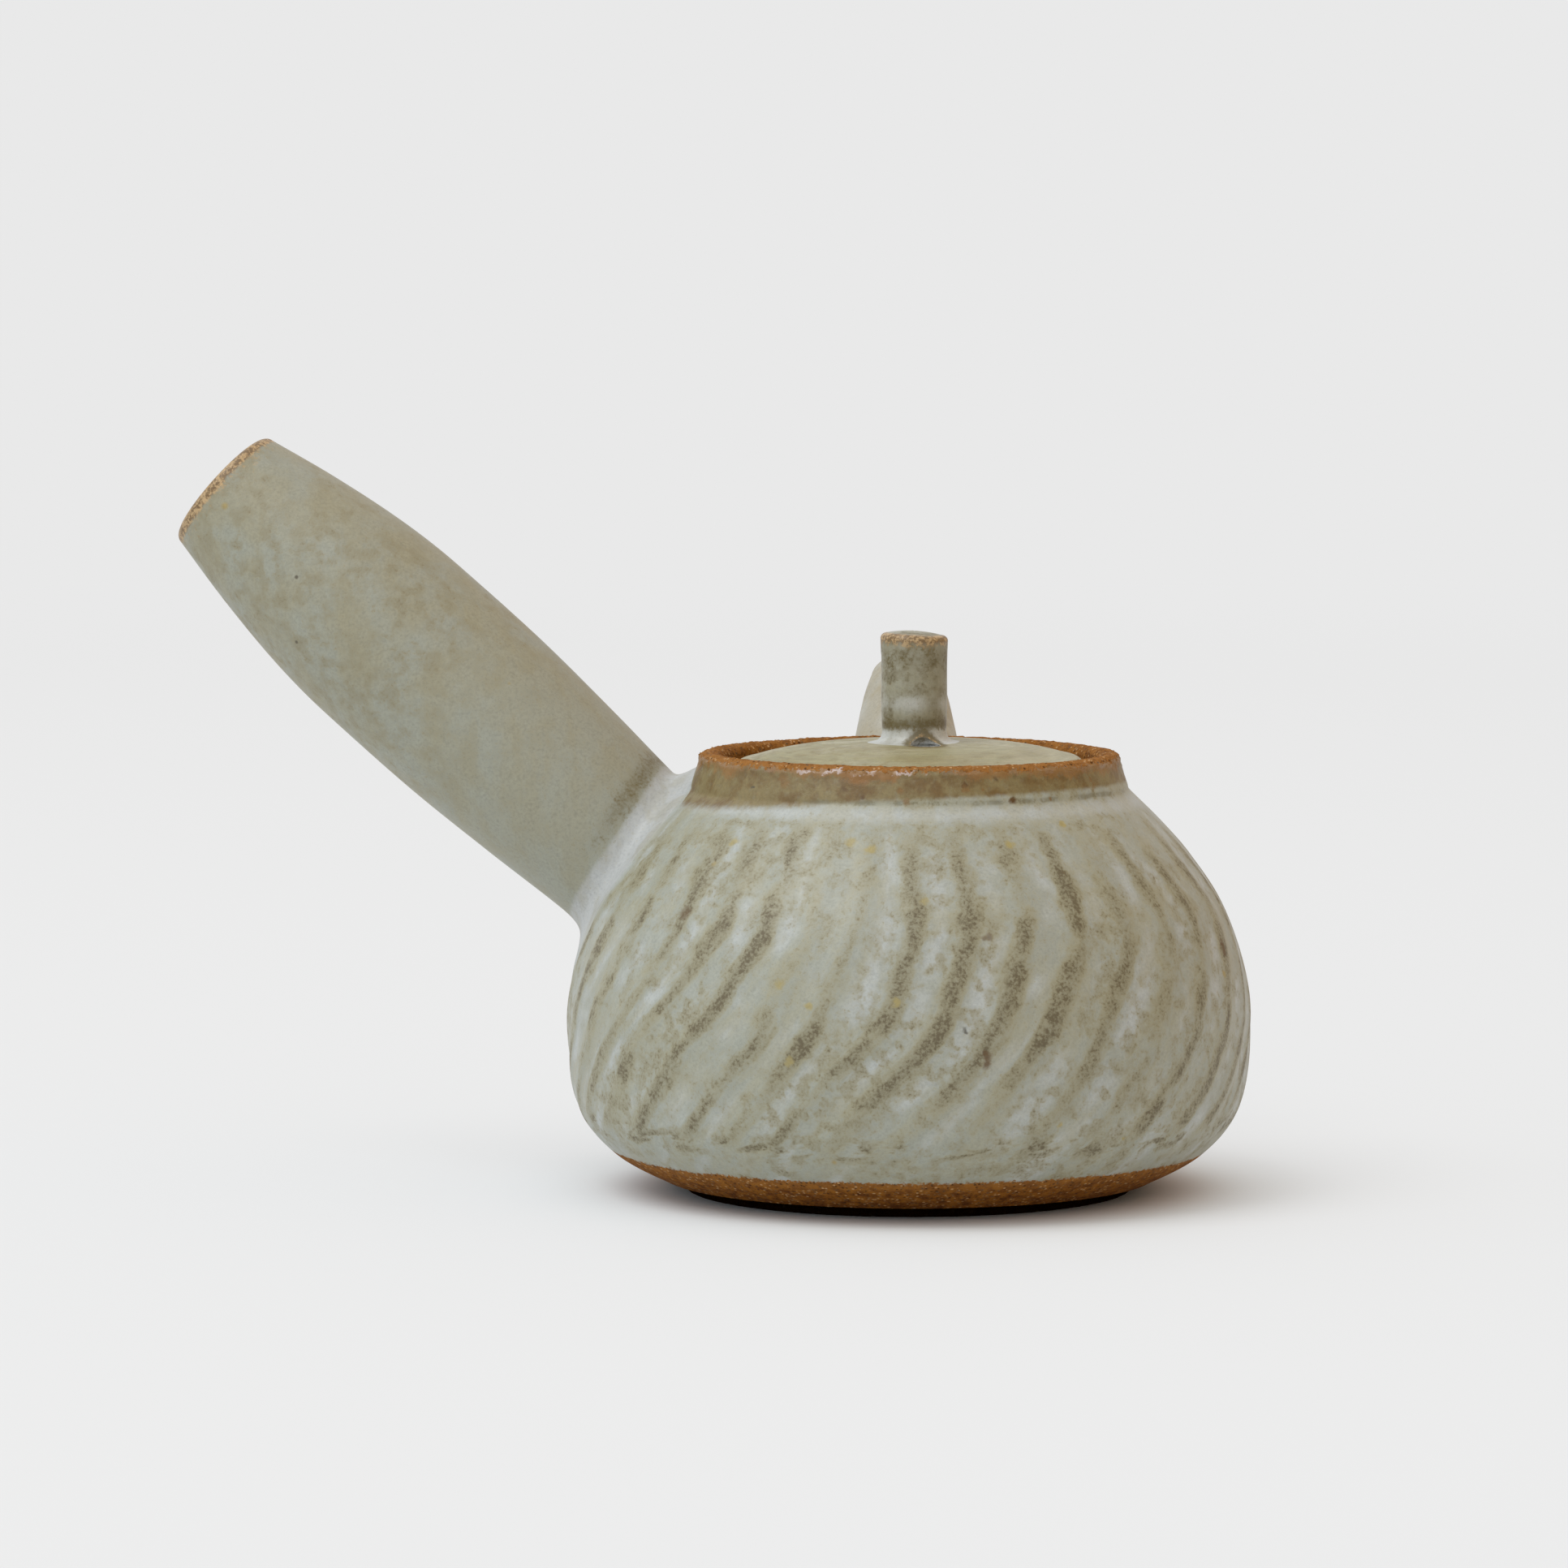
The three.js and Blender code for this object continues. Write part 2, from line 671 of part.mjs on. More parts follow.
const handleGroup = placedGroup(
  handleFrame,
  piece("handle", makeTube(handleFrame, handleLine, handleWall, handleTipWall), glazeColour, 0.55),
  piece(
    "handle_joint_coil",
    lutingCoil(handleFrame, handleLine, handleCoilHeight, handleCoilWidth),
    paleGlazeColour,
    0.45,
  ),
);
const spoutGroup = placedGroup(
  spoutFrame,
  piece("spout", makeTube(spoutFrame, spoutLine, spoutWall, spoutLipWall), glazeColour, 0.5),
  piece(
    "spout_joint_coil",
    lutingCoil(spoutFrame, spoutLine, spoutCoilHeight, spoutCoilWidth),
    paleGlazeColour,
    0.45,
  ),
  piece("strainer", makeStrainer(), oliveGlazeColour, 0.6),
);

const knobGroup = new THREE.Group();
knobGroup.position.set(knobOffset, 0, lidTop + seamGap);
knobGroup.add(
  piece("knob", makeKnob(), paleGlazeColour, 0.5),
  piece("knob_joint_coil", makeKnobCoil(), paleGlazeColour, 0.45),
);
const lidGroup = new THREE.Group();
lidGroup.position.set(0, 0, ledgeHeight + lidSeatGap);
lidGroup.add(piece("lid", makeLid(), oliveGlazeColour, 0.4), knobGroup);

const teapot = new THREE.Group();
teapot.add(piece("pot_body", makeBody(), clayColour, 0.6), handleGroup, spoutGroup, lidGroup);

export default teapot;
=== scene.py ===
"""Side-handle teapot in fluted stoneware: a thrown pot with a hollow side handle, a short
spout with a pierced strainer behind it, and a sunk lid with a small knob.

Lengths are in millimetres in the tables and functions, and every mesh is written in metres.
"""

import functools
import math

import bmesh
import bpy
import numpy as np
from mathutils import Matrix, Vector


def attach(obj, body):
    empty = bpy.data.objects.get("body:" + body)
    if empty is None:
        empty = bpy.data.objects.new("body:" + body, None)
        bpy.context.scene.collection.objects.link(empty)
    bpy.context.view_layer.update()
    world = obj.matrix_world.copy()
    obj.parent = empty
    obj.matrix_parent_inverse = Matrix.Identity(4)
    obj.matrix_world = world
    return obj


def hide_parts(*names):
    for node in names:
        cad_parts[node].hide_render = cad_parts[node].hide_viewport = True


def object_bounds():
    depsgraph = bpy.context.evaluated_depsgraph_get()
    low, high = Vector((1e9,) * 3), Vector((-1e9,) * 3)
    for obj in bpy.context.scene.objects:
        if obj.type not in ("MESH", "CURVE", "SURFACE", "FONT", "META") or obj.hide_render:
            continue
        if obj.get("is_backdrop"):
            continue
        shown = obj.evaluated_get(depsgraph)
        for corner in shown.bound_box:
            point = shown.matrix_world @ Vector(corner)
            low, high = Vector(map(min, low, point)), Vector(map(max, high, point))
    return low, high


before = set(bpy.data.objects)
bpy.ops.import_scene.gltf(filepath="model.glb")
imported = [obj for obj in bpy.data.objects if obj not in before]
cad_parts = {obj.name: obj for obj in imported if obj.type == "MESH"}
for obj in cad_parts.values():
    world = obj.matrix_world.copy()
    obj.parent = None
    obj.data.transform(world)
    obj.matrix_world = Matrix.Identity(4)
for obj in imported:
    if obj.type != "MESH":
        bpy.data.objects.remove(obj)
cad_low, cad_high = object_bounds()

MM = 0.001
TURN = 2 * math.pi
BACKDROP = "#e9e9e9"

# The pot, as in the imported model.
BODY_RADIUS = 55.0
WIDEST_HEIGHT = 26.0
BODY_WALL = 4.4
FLOOR_THICKNESS = 5.5
FOOT_RADIUS = 36.0
FOOT_ROUND = 0.6
BELLY_EDGE = (39.5, 1.9)
RIM_HEIGHT = 70.5
LIP_OUTER = 33.9
LIP_INNER = 30.1
LIP_ROUND = 1.75
COLLAR_LINE = 64.9
COLLAR_FOOT = 35.1
SHOULDER_TOP = (36.0, 63.8)
LEDGE_HEIGHT = 65.0
LEDGE_UNDERSIDE = 61.4
MOUTH_RADIUS = 25.5
FLUTES = 36
FLUTE_COLUMNS = 12
FLUTE_DEPTH = 0.32
FLUTE_TOP = 61.0
FLUTE_FOOT = 9.0
FLUTE_FADE = 9.0
FLUTE_SWEEP = math.radians(21)

BELLY_SHARES = [(0, 0), (0.53, 0.19), (0.9, 0.5), (1, 1)]
SHOULDER_SHARES = [(1, 0), (0.955, 0.24), (0.77, 0.52), (0.5, 0.73), (0.26, 0.87), (0, 1)]
SWEEP_HEIGHTS = [0, 9.9, 16.9, 24.7, 30.3, 36.7, 45.1, 50.8, 60.6, 70.5]
SWEEP_SHARES = [-1.35, -1, -0.66, -0.33, -0.14, -0.02, 0.12, 0.07, 0, 0]

# Heights where the glaze changes: its lower edge over the foot, its upper edge under the
# lip, the thick roll under the collar, the line scored under the collar, and the level
# smudges low on the belly.
GLAZE_FOOT = 7.0
GLAZE_RIM = 69.75
GLAZE_ROLL = 63.2
GLAZE_SCORED = 64.95
GLAZE_SMUDGES = 12.3

# The hand-cut ridges that show at the front. Each row is a ridge, numbered round the pot:
# how far it drifts from the even sweep, in flutes, and then how strongly the glaze breaks
# on it, both at the heights in the first list.
RIDGE_HEIGHTS = [63, 52, 40, 35, 30, 26, 20, 12]
RIDGES = """
19  0.2 0.1 -0.2 -0.3 -0.3 -0.3 -0.4 -0.4  0.2 0.3 0.5 0.7 0.8 0.8 0.6 0.4
20  0.2 0.1 -0.2 -0.3 -0.3 -0.3 -0.4 -0.4  0.3 0.4 0.5 0.6 0.8 0.8 0.6 0.4
21  0.1 0.15 -0.1 -0.3 -0.3 -0.3 -0.4 -0.4  0.5 0.7 0.4 0.6 0.8 0.8 0.6 0.4
22  0.3 0.3 0 -0.2 -0.4 -0.6 -0.6 -0.6  0.4 0.7 0.4 0.3 0.3 0.4 0.4 0.3
23  0.3 0.3 -0.1 -0.3 -0.7 -0.8 -0.75 -0.7  0.4 0.7 0.4 0.4 0.8 0.95 0.8 0.4
24  0.3 0.25 -0.17 -0.22 -0.5 -0.7 -0.6 -0.6  0.8 0.5 0.7 0.9 1 1 0.9 0.6
25  0.3 0.1 -0.3 -0.3 -0.2 -0.35 -0.4 -0.4  0.6 0.2 0.2 0.3 0.5 0.7 0.7 0.4
26  0.1 -0.1 -0.4 -0.4 -0.45 -0.45 -0.5 -0.5  0.4 0.2 0.3 0.2 0.6 0.5 0.2 0.3
27  -0.1 -0.17 -0.3 -0.17 -0.35 -0.6 -0.65 -0.6  0.5 0.4 0.75 0.6 0.7 0.8 0.6 0.5
28  -0.1 -0.15 -0.33 -0.33 -0.33 -0.5 -0.65 -0.7  0.5 0.4 0.8 1 1 1 1 0.7
29  0 -0.05 -0.34 -0.4 -0.43 -0.48 -0.5 -0.5  0.7 0.3 0.9 0.95 0.9 0.6 0.3 0.2
30  0 0 -0.33 -0.42 -0.5 -0.6 -0.6 -0.5  0.8 0.8 0.8 0.7 0.6 0.4 0.2 0.2
31  0 -0.05 -0.22 -0.4 -0.5 -0.4 -0.3 -0.3  0.6 0.4 0.5 0.4 0.4 0.4 0.3 0.3
32  0 -0.05 -0.05 -0.2 -0.2 -0.2 -0.2 -0.2  0.5 0.4 0.4 0.3 0.3 0.3 0.3 0.3
33  -0.08 -0.08 -0.05 -0.1 -0.15 -0.18 -0.18 -0.15  0.6 0.5 0.4 0.4 0.6 0.8 0.7 0.4
34  0 0 0 -0.1 -0.1 -0.1 -0.1 -0.1  0.4 0.5 0.5 0.4 0.6 0.6 0.5 0.4
35  0 0 0 -0.1 -0.1 -0.1 -0.1 -0.1  0.4 0.5 0.5 0.5 0.5 0.6 0.5 0.4
"""
EVEN_DRIFT = (0.1, 0.05, -0.2, -0.25, -0.35, -0.4, -0.4, -0.4)
RIDGE_STEPS = 142
PHASE_STEPS = 12

# Handle and spout. The aim is the height where the tube's axis meets the pot's, the start
# and the length lie along the tube's axis, and the shares are its outline. The joint's clay
# runs up the tube and out over the pot, further up it at the crest and in the trough below.
HANDLE = {
    "azimuth": math.radians(168),
    "tilt": math.radians(40.6),
    "aim": 13.9,
    "start": 60.0,
    "length": 89.4,
    "radius": 16.2,
    "wall": 3.2,
    "lip": 2.4,
    "columns": 128,
    "shares": [(-0.16, 0.85), (0.02, 0.872), (0.2, 0.94), (0.38, 0.993), (0.56, 1)]
    + [(0.66, 0.985), (0.76, 0.93), (0.88, 0.825), (1, 0.69)],
    "fillet_up": 2.6,
    "fillet_out": 4.6,
    "fillet_crest": 1.0,
    "fillet_trough": 3.5,
}
SPOUT = {
    "azimuth": math.radians(89.5),
    "tilt": math.radians(45),
    "aim": 1.5,
    "start": 68.0,
    "length": 39.0,
    "radius": 13.2,
    "wall": 2.8,
    "lip": 1.7,
    "columns": 96,
    "shares": [(-0.3, 1.07), (0, 1), (0.4, 0.765), (0.7, 0.63), (0.88, 0.54), (1, 0.445)],
    "fillet_up": 4.0,
    "fillet_out": 4.4,
    "fillet_crest": 0.0,
    "fillet_trough": 0.0,
}
PORT_RADIUS = 9.0
# How many rows of points a tube has along each of its stretches.
HOLLOW_ROWS = 18
OUTSIDE_ROWS = 109
LIP_ROWS = 12
BORE_ROWS = 59
# Where along a tube's axis its way out of the pot is looked for, and in how many halvings.
WALL_SEARCH = (20.0, 110.0)
WALL_HALVINGS = 26

# Lid and knob, with heights above the lid's seat.
LID_SEAT = 65.3
LID_RADIUS = 28.3
LID_EDGE = 4.3
LID_EDGE_ROUND = 2.2
LID_RISE = 2.45
LID_FULLNESS = 3.5
LID_THICKNESS = 4.0
LID_COLUMNS = 288
LID_UNDER_ROWS = 31
FLANGE_OUTER = 24.5
FLANGE_INNER = 21.5
FLANGE_DEPTH = 6.8
FLANGE_ROUND = 0.9
VENT_RADIUS = 2.35
VENT_AZIMUTH = math.radians(-77)
VENT_TILT = math.radians(55)
VENT_OFFSET = 7.5
VENT_REACH = 9.0
KNOB_FOOT = 5.15
KNOB_TOP = 5.4
KNOB_HEIGHT = 17.8
KNOB_ROUND = 0.9
KNOB_CROWN = 0.5
KNOB_OFFSET = 0.8
KNOB_FILLET_UP = 2.2
KNOB_FILLET_OUT = 2.6
KNOB_COLUMNS = 120

STRAINER_RADIUS = 17.0
STRAINER_BULGE = 9.0
STRAINER_THICKNESS = 2.2
STRAINER_GRIP = 0.9
STRAINER_HOLE = 0.9
STRAINER_SPACING = 3.5
STRAINER_RINGS = 3
STRAINER_COLUMNS = 72
STRAINER_HOLE_SIDES = 14


def smooth_line(points, steps):
    """A uniform Catmull-Rom curve through the points, its end points doubled, at evenly
    spaced parameters."""
    p = np.array(points, float)
    last = len(p) - 1
    t = np.linspace(0, last, steps)
    i = np.minimum(t.astype(int), last - 1)
    w = (t - i)[:, None]
    before, here = p[np.maximum(i - 1, 0)], p[i]
    there, after = p[i + 1], p[np.minimum(i + 2, last)]
    into, out = (there - before) / 2, (after - here) / 2
    bend = (2 * here - 2 * there + into + out) * w**3
    return bend + (3 * there - 3 * here - 2 * into - out) * w**2 + into * w + here


def arc(centre_r, centre_z, radius, start, end, steps):
    """Points on an arc about a centre, angles in degrees."""
    a = np.radians(np.linspace(start, end, steps))
    return np.stack([centre_r + radius * np.cos(a), centre_z + radius * np.sin(a)], 1)


def polar(radius, angle, z):
    """Points about the upright axis."""
    radius, angle, z = np.broadcast_arrays(radius, angle, z)
    return np.stack([radius * np.cos(angle), radius * np.sin(angle), z], -1)


def bell(value, middle, width):
    """1 in the middle, falling off to both sides as a bell curve."""
    return np.exp(-(((value - middle) / width) ** 2))


def unit(vectors):
    """Vectors at length 1."""
    return vectors / np.linalg.norm(vectors, axis=-1, keepdims=True)


def wobble(angle, seed, size, waves=9):
    """A slow uneven wave round a ring: a seeded sum of sines with falling strength."""
    rng = np.random.default_rng(seed)
    phase = rng.uniform(0, TURN, waves)
    strength = rng.uniform(0.4, 1, waves) / np.arange(1, waves + 1) ** 0.7
    k = np.arange(1, waves + 1)
    return size * (np.sin(angle[..., None] * k + phase) * strength).sum(-1) / strength.sum()


def smoothed(values, width, ends="edge"):
    """A row of values run through a bell-shaped mean, its ends held or joined."""
    kernel = np.hanning(width) / np.hanning(width).sum()
    return np.convolve(np.pad(values, width // 2, ends), kernel, "valid")


def spread(start, end, shares):
    """Points at shares of the way, across and up, between two corners."""
    (r0, z0), (r1, z1) = start, end
    return [(r0 + (r1 - r0) * a, z0 + (z1 - z0) * b) for a, b in shares]


# The outline from the underside's edge up to the collar, and on to the lip's crest.
WIDEST = (BODY_RADIUS, WIDEST_HEIGHT)
SHOULDER_LOW, SHOULDER_HIGH = (SHOULDER_TOP[0], WIDEST_HEIGHT), (BODY_RADIUS, SHOULDER_TOP[1])
SHOULDER = spread(SHOULDER_LOW, SHOULDER_HIGH, SHOULDER_SHARES)
BELLY = smooth_line(spread(BELLY_EDGE, WIDEST, BELLY_SHARES) + SHOULDER[1:], 161)
OUTSIDE = np.vstack(
    [
        BELLY,
        [(COLLAR_FOOT - 0.5, COLLAR_LINE - 0.55), (COLLAR_FOOT, COLLAR_LINE)],
        arc(LIP_OUTER - LIP_ROUND, RIM_HEIGHT - LIP_ROUND, LIP_ROUND, 0, 90, 12),
    ]
)
SWEEP_GRID = np.linspace(-10, 80, 361)
SWEEP_LINE = smoothed(np.interp(SWEEP_GRID, SWEEP_HEIGHTS, SWEEP_SHARES), 41)


def sweep_at(z):
    """How far a ridge has turned at a height, in radians."""
    return np.interp(z, SWEEP_GRID, SWEEP_LINE) * FLUTE_SWEEP


def ridge_tables():
    """Drift and strength of every ridge on a fine grid of heights: the listed ridges as given,
    the rest an even drift with seeded strengths, both smoothed along the height."""
    rng = np.random.default_rng(4)
    count = len(RIDGE_HEIGHTS)
    rows = [[float(x) for x in row.split()] for row in RIDGES.strip().splitlines()]
    listed = {int(row[0]): (row[1 : count + 1], row[count + 1 :]) for row in rows}
    heights = np.linspace(0, RIM_HEIGHT, RIDGE_STEPS)
    tables = np.zeros((2, FLUTES, RIDGE_STEPS))
    for k in range(FLUTES):
        drift = np.array(EVEN_DRIFT) + rng.uniform(-0.12, 0.12)
        strength = np.clip(rng.normal(0.6, 0.24, count), 0.1, 1)
        for table, values in zip(tables, listed.get(k, (drift, strength))):
            table[k] = smoothed(np.interp(heights, RIDGE_HEIGHTS[::-1], values[::-1]), 19)
    return tables


RIDGE_DRIFT, RIDGE_STRENGTH = ridge_tables()


def between_ridges(table, phase, z):
    """A ridge table read at any phase, counted in flutes, and height: a periodic mix of
    the two nearest ridges."""
    low = np.floor(phase).astype(int)
    w = phase - low
    w = w * w * (3 - 2 * w)
    row = np.clip(z / RIM_HEIGHT * (RIDGE_STEPS - 1), 0, RIDGE_STEPS - 1.001)
    j = row.astype(int)
    v = row - j

    def on_ridge(k):
        return table[k % FLUTES, j] * (1 - v) + table[k % FLUTES, j + 1] * v

    return on_ridge(low) * (1 - w) + on_ridge(low + 1) * w


def ridge_angle(phase, z):
    """The azimuth of a phase at a height: even turns, the common sweep and the drift."""
    return TURN * (phase + between_ridges(RIDGE_DRIFT, phase, z)) / FLUTES + sweep_at(z)


def phase_at(angle, z):
    """The phase at an azimuth and height, by stepping back the drift a few times."""
    phase = start = (angle - sweep_at(z)) * FLUTES / TURN
    for _ in range(PHASE_STEPS):
        phase = start - between_ridges(RIDGE_DRIFT, phase % FLUTES, z)
    return phase % FLUTES


def flute_cut(phase, z):
    """Depth of the flutes: rounded ridges with a broad hollow between, faded out at the
    collar and the foot, and shallow where the ridge is weak."""
    fade = np.clip(np.minimum(FLUTE_TOP - z, z - FLUTE_FOOT) / FLUTE_FADE, 0, 1)
    fade = np.sin(fade * math.pi / 2)
    strength = between_ridges(RIDGE_STRENGTH, phase % FLUTES, z)
    hollow = 1 - ((1 + np.cos(TURN * phase)) / 2) ** 1.7
    return FLUTE_DEPTH * fade * (0.45 + 0.55 * strength) * hollow


def outside_radius(angle, z):
    """Radius of the finished pot's outside at an azimuth and height."""
    plain = np.interp(z, OUTSIDE[:, 1], OUTSIDE[:, 0])
    inside = (z > 0) & (z < RIM_HEIGHT)
    return np.where(inside, plain - flute_cut(phase_at(angle, z), z), 0)


def new_mesh(name, points, faces, floats=(), flow=None):
    """A mesh object from points in millimetres, faces as quads or triangles, and named
    values at the points. Flow is where each point would be if the glaze had run straight
    down, for the patterns that follow the flutes."""
    mesh = bpy.data.meshes.new(name)
    sizes = np.concatenate([np.full(len(f), f.shape[1]) for f in faces])
    corners = np.concatenate([f.ravel() for f in faces])
    starts = np.concatenate([[0], np.cumsum(sizes)[:-1]])
    mesh.vertices.add(len(points))
    mesh.vertices.foreach_set("co", (points * MM).ravel())
    mesh.loops.add(len(corners))
    mesh.loops.foreach_set("vertex_index", corners.astype(np.int32))
    mesh.polygons.add(len(sizes))
    mesh.polygons.foreach_set("loop_start", starts.astype(np.int32))
    mesh.polygons.foreach_set("use_smooth", np.ones(len(sizes), bool))
    mesh.update(calc_edges=True)
    mesh.validate()
    for key, values in dict(floats).items():
        named = mesh.attributes.new(key, "FLOAT", "POINT")
        named.data.foreach_set("value", values.astype(np.float32))
    course = points if flow is None else flow
    named = mesh.attributes.new("flow", "FLOAT_VECTOR", "POINT")
    named.data.foreach_set("vector", (course * MM).astype(np.float32).ravel())
    piece = bpy.data.objects.new(name, mesh)
    bpy.context.scene.collection.objects.link(piece)
    return piece


def grid_faces(rows, columns):
    """Quads of a grid that closes round its columns."""
    r = np.arange(rows - 1)[:, None]
    c = np.arange(columns)[None, :]
    c2 = (c + 1) % columns
    quads = [r * columns + c, r * columns + c2, (r + 1) * columns + c2, (r + 1) * columns + c]
    return np.stack(quads, -1).reshape(-1, 4)


def grid_normals(points):
    """Normals of a grid that closes round its columns: the cross product of its central
    differences."""
    across = np.roll(points, -1, 1) - np.roll(points, 1, 1)
    along = np.gradient(points, axis=0)
    normals = np.cross(across, along)
    return normals / np.maximum(np.linalg.norm(normals, axis=2, keepdims=True), 1e-9)


def turned_grid(name, grid, floats=(), flow=None):
    """A closed piece from rings of points, with a point on the axis at each end."""
    rows, columns, _ = grid.shape
    points = grid.reshape(-1, 3)
    course = points if flow is None else flow.reshape(-1, 3)
    faces = [grid_faces(rows, columns)]
    c = np.arange(columns)
    values = {k: v.ravel() for k, v in dict(floats).items()}
    for end in (0, 1):
        ring = c + (rows - 1) * columns * end
        other = (c + 1) % columns + (rows - 1) * columns * end
        pole = np.full(columns, len(points))
        points = np.vstack([points, points[ring].mean(0)])
        course = np.vstack([course, course[ring].mean(0)])
        faces.append(np.stack([ring, other, pole] if end else [pole, other, ring], 1))
        values = {k: np.append(v, v[ring].mean()) for k, v in values.items()}
    return new_mesh(name, points, faces, values, course)


def finished(piece, *cutters, sharp):
    """The piece with each cutter taken out of it, as a plain mesh. Edges of the cut that
    are sharper than an angle in degrees are marked sharp."""
    for cutter in cutters:
        cut = piece.modifiers.new("cut", "BOOLEAN")
        cut.operation, cut.solver, cut.object = "DIFFERENCE", "EXACT", cutter
    graph = bpy.context.evaluated_depsgraph_get()
    mesh = bpy.data.meshes.new_from_object(piece.evaluated_get(graph))
    piece.modifiers.clear()
    piece.data = mesh
    mesh.set_sharp_from_angle(angle=math.radians(sharp))
    for cutter in cutters:
        bpy.data.objects.remove(cutter)
    return piece


def coat(piece, values, chosen=None):
    """Sets named values at a finished piece's points, all of them or the chosen ones. The
    choice, and a value that isn't a number, are functions of the points in millimetres."""
    mesh = piece.data
    points = np.empty(3 * len(mesh.vertices))
    mesh.vertices.foreach_get("co", points)
    points = points.reshape(-1, 3) / MM
    wanted = np.ones(len(points), bool) if chosen is None else chosen(points)
    for key, value in values.items():
        named = mesh.attributes.get(key) or mesh.attributes.new(key, "FLOAT", "POINT")
        old = np.empty(len(points), np.float32)
        named.data.foreach_get("value", old)
        new = value(points) if callable(value) else value
        named.data.foreach_set("value", np.where(wanted, new, old).astype(np.float32))
    return piece


def rod(name, matrix, radius, low, high, columns=40):
    """A closed cylinder along a frame's own Z, for cutting a hole."""
    a = np.arange(columns) * TURN / columns
    return turned_grid(name, placed(polar(radius, a, np.array([[low], [high]])), matrix))


def placed(points, matrix):
    """Points in a frame of their own, as points in the teapot's frame."""
    m = np.array(matrix)
    return points @ m[:3, :3].T + m[:3, 3]


def tube_frame(tube):
    """Axes of a tube: its own Z runs out along its axis, its X is level."""
    az, tilt = tube["azimuth"], tube["tilt"]
    out = np.array([math.cos(az) * math.cos(tilt), math.sin(az) * math.cos(tilt), math.sin(tilt)])
    side = np.array([-math.sin(az), math.cos(az), 0])
    up = np.cross(out, side)
    matrix = np.eye(4)
    matrix[:3, :3] = np.stack([side, up, out], 1)
    matrix[2, 3] = tube["aim"]
    return matrix


def wall_distance(matrix, angle, radius_at):
    """How far out along a tube's axis a line beside it leaves the pot, for each angle
    round the tube, by halving. The line's distance from the axis is a function of the
    distance along it."""
    low, high = (np.full_like(angle, end) for end in WALL_SEARCH)
    for _ in range(WALL_HALVINGS):
        middle = (low + high) / 2
        x, y, z = np.moveaxis(placed(polar(radius_at(middle), angle, middle), matrix), -1, 0)
        within = np.hypot(x, y) < outside_radius(np.arctan2(y, x), z)
        low, high = np.where(within, middle, low), np.where(within, high, middle)
    return (low + high) / 2


def bezier(p0, p1, p2, p3, t):
    """Cubic curve for every column: control points (columns, 2), parameters (rows)."""
    t = t[:, None, None]
    return p0 * (1 - t) ** 3 + 3 * p1 * t * (1 - t) ** 2 + 3 * p2 * t**2 * (1 - t) + p3 * t**3


def trough_at(tube, angle):
    """How much further the joint's clay runs up the tube on its underside."""
    return tube["fillet_trough"] * np.clip(-np.sin(angle), 0, 1) ** 2


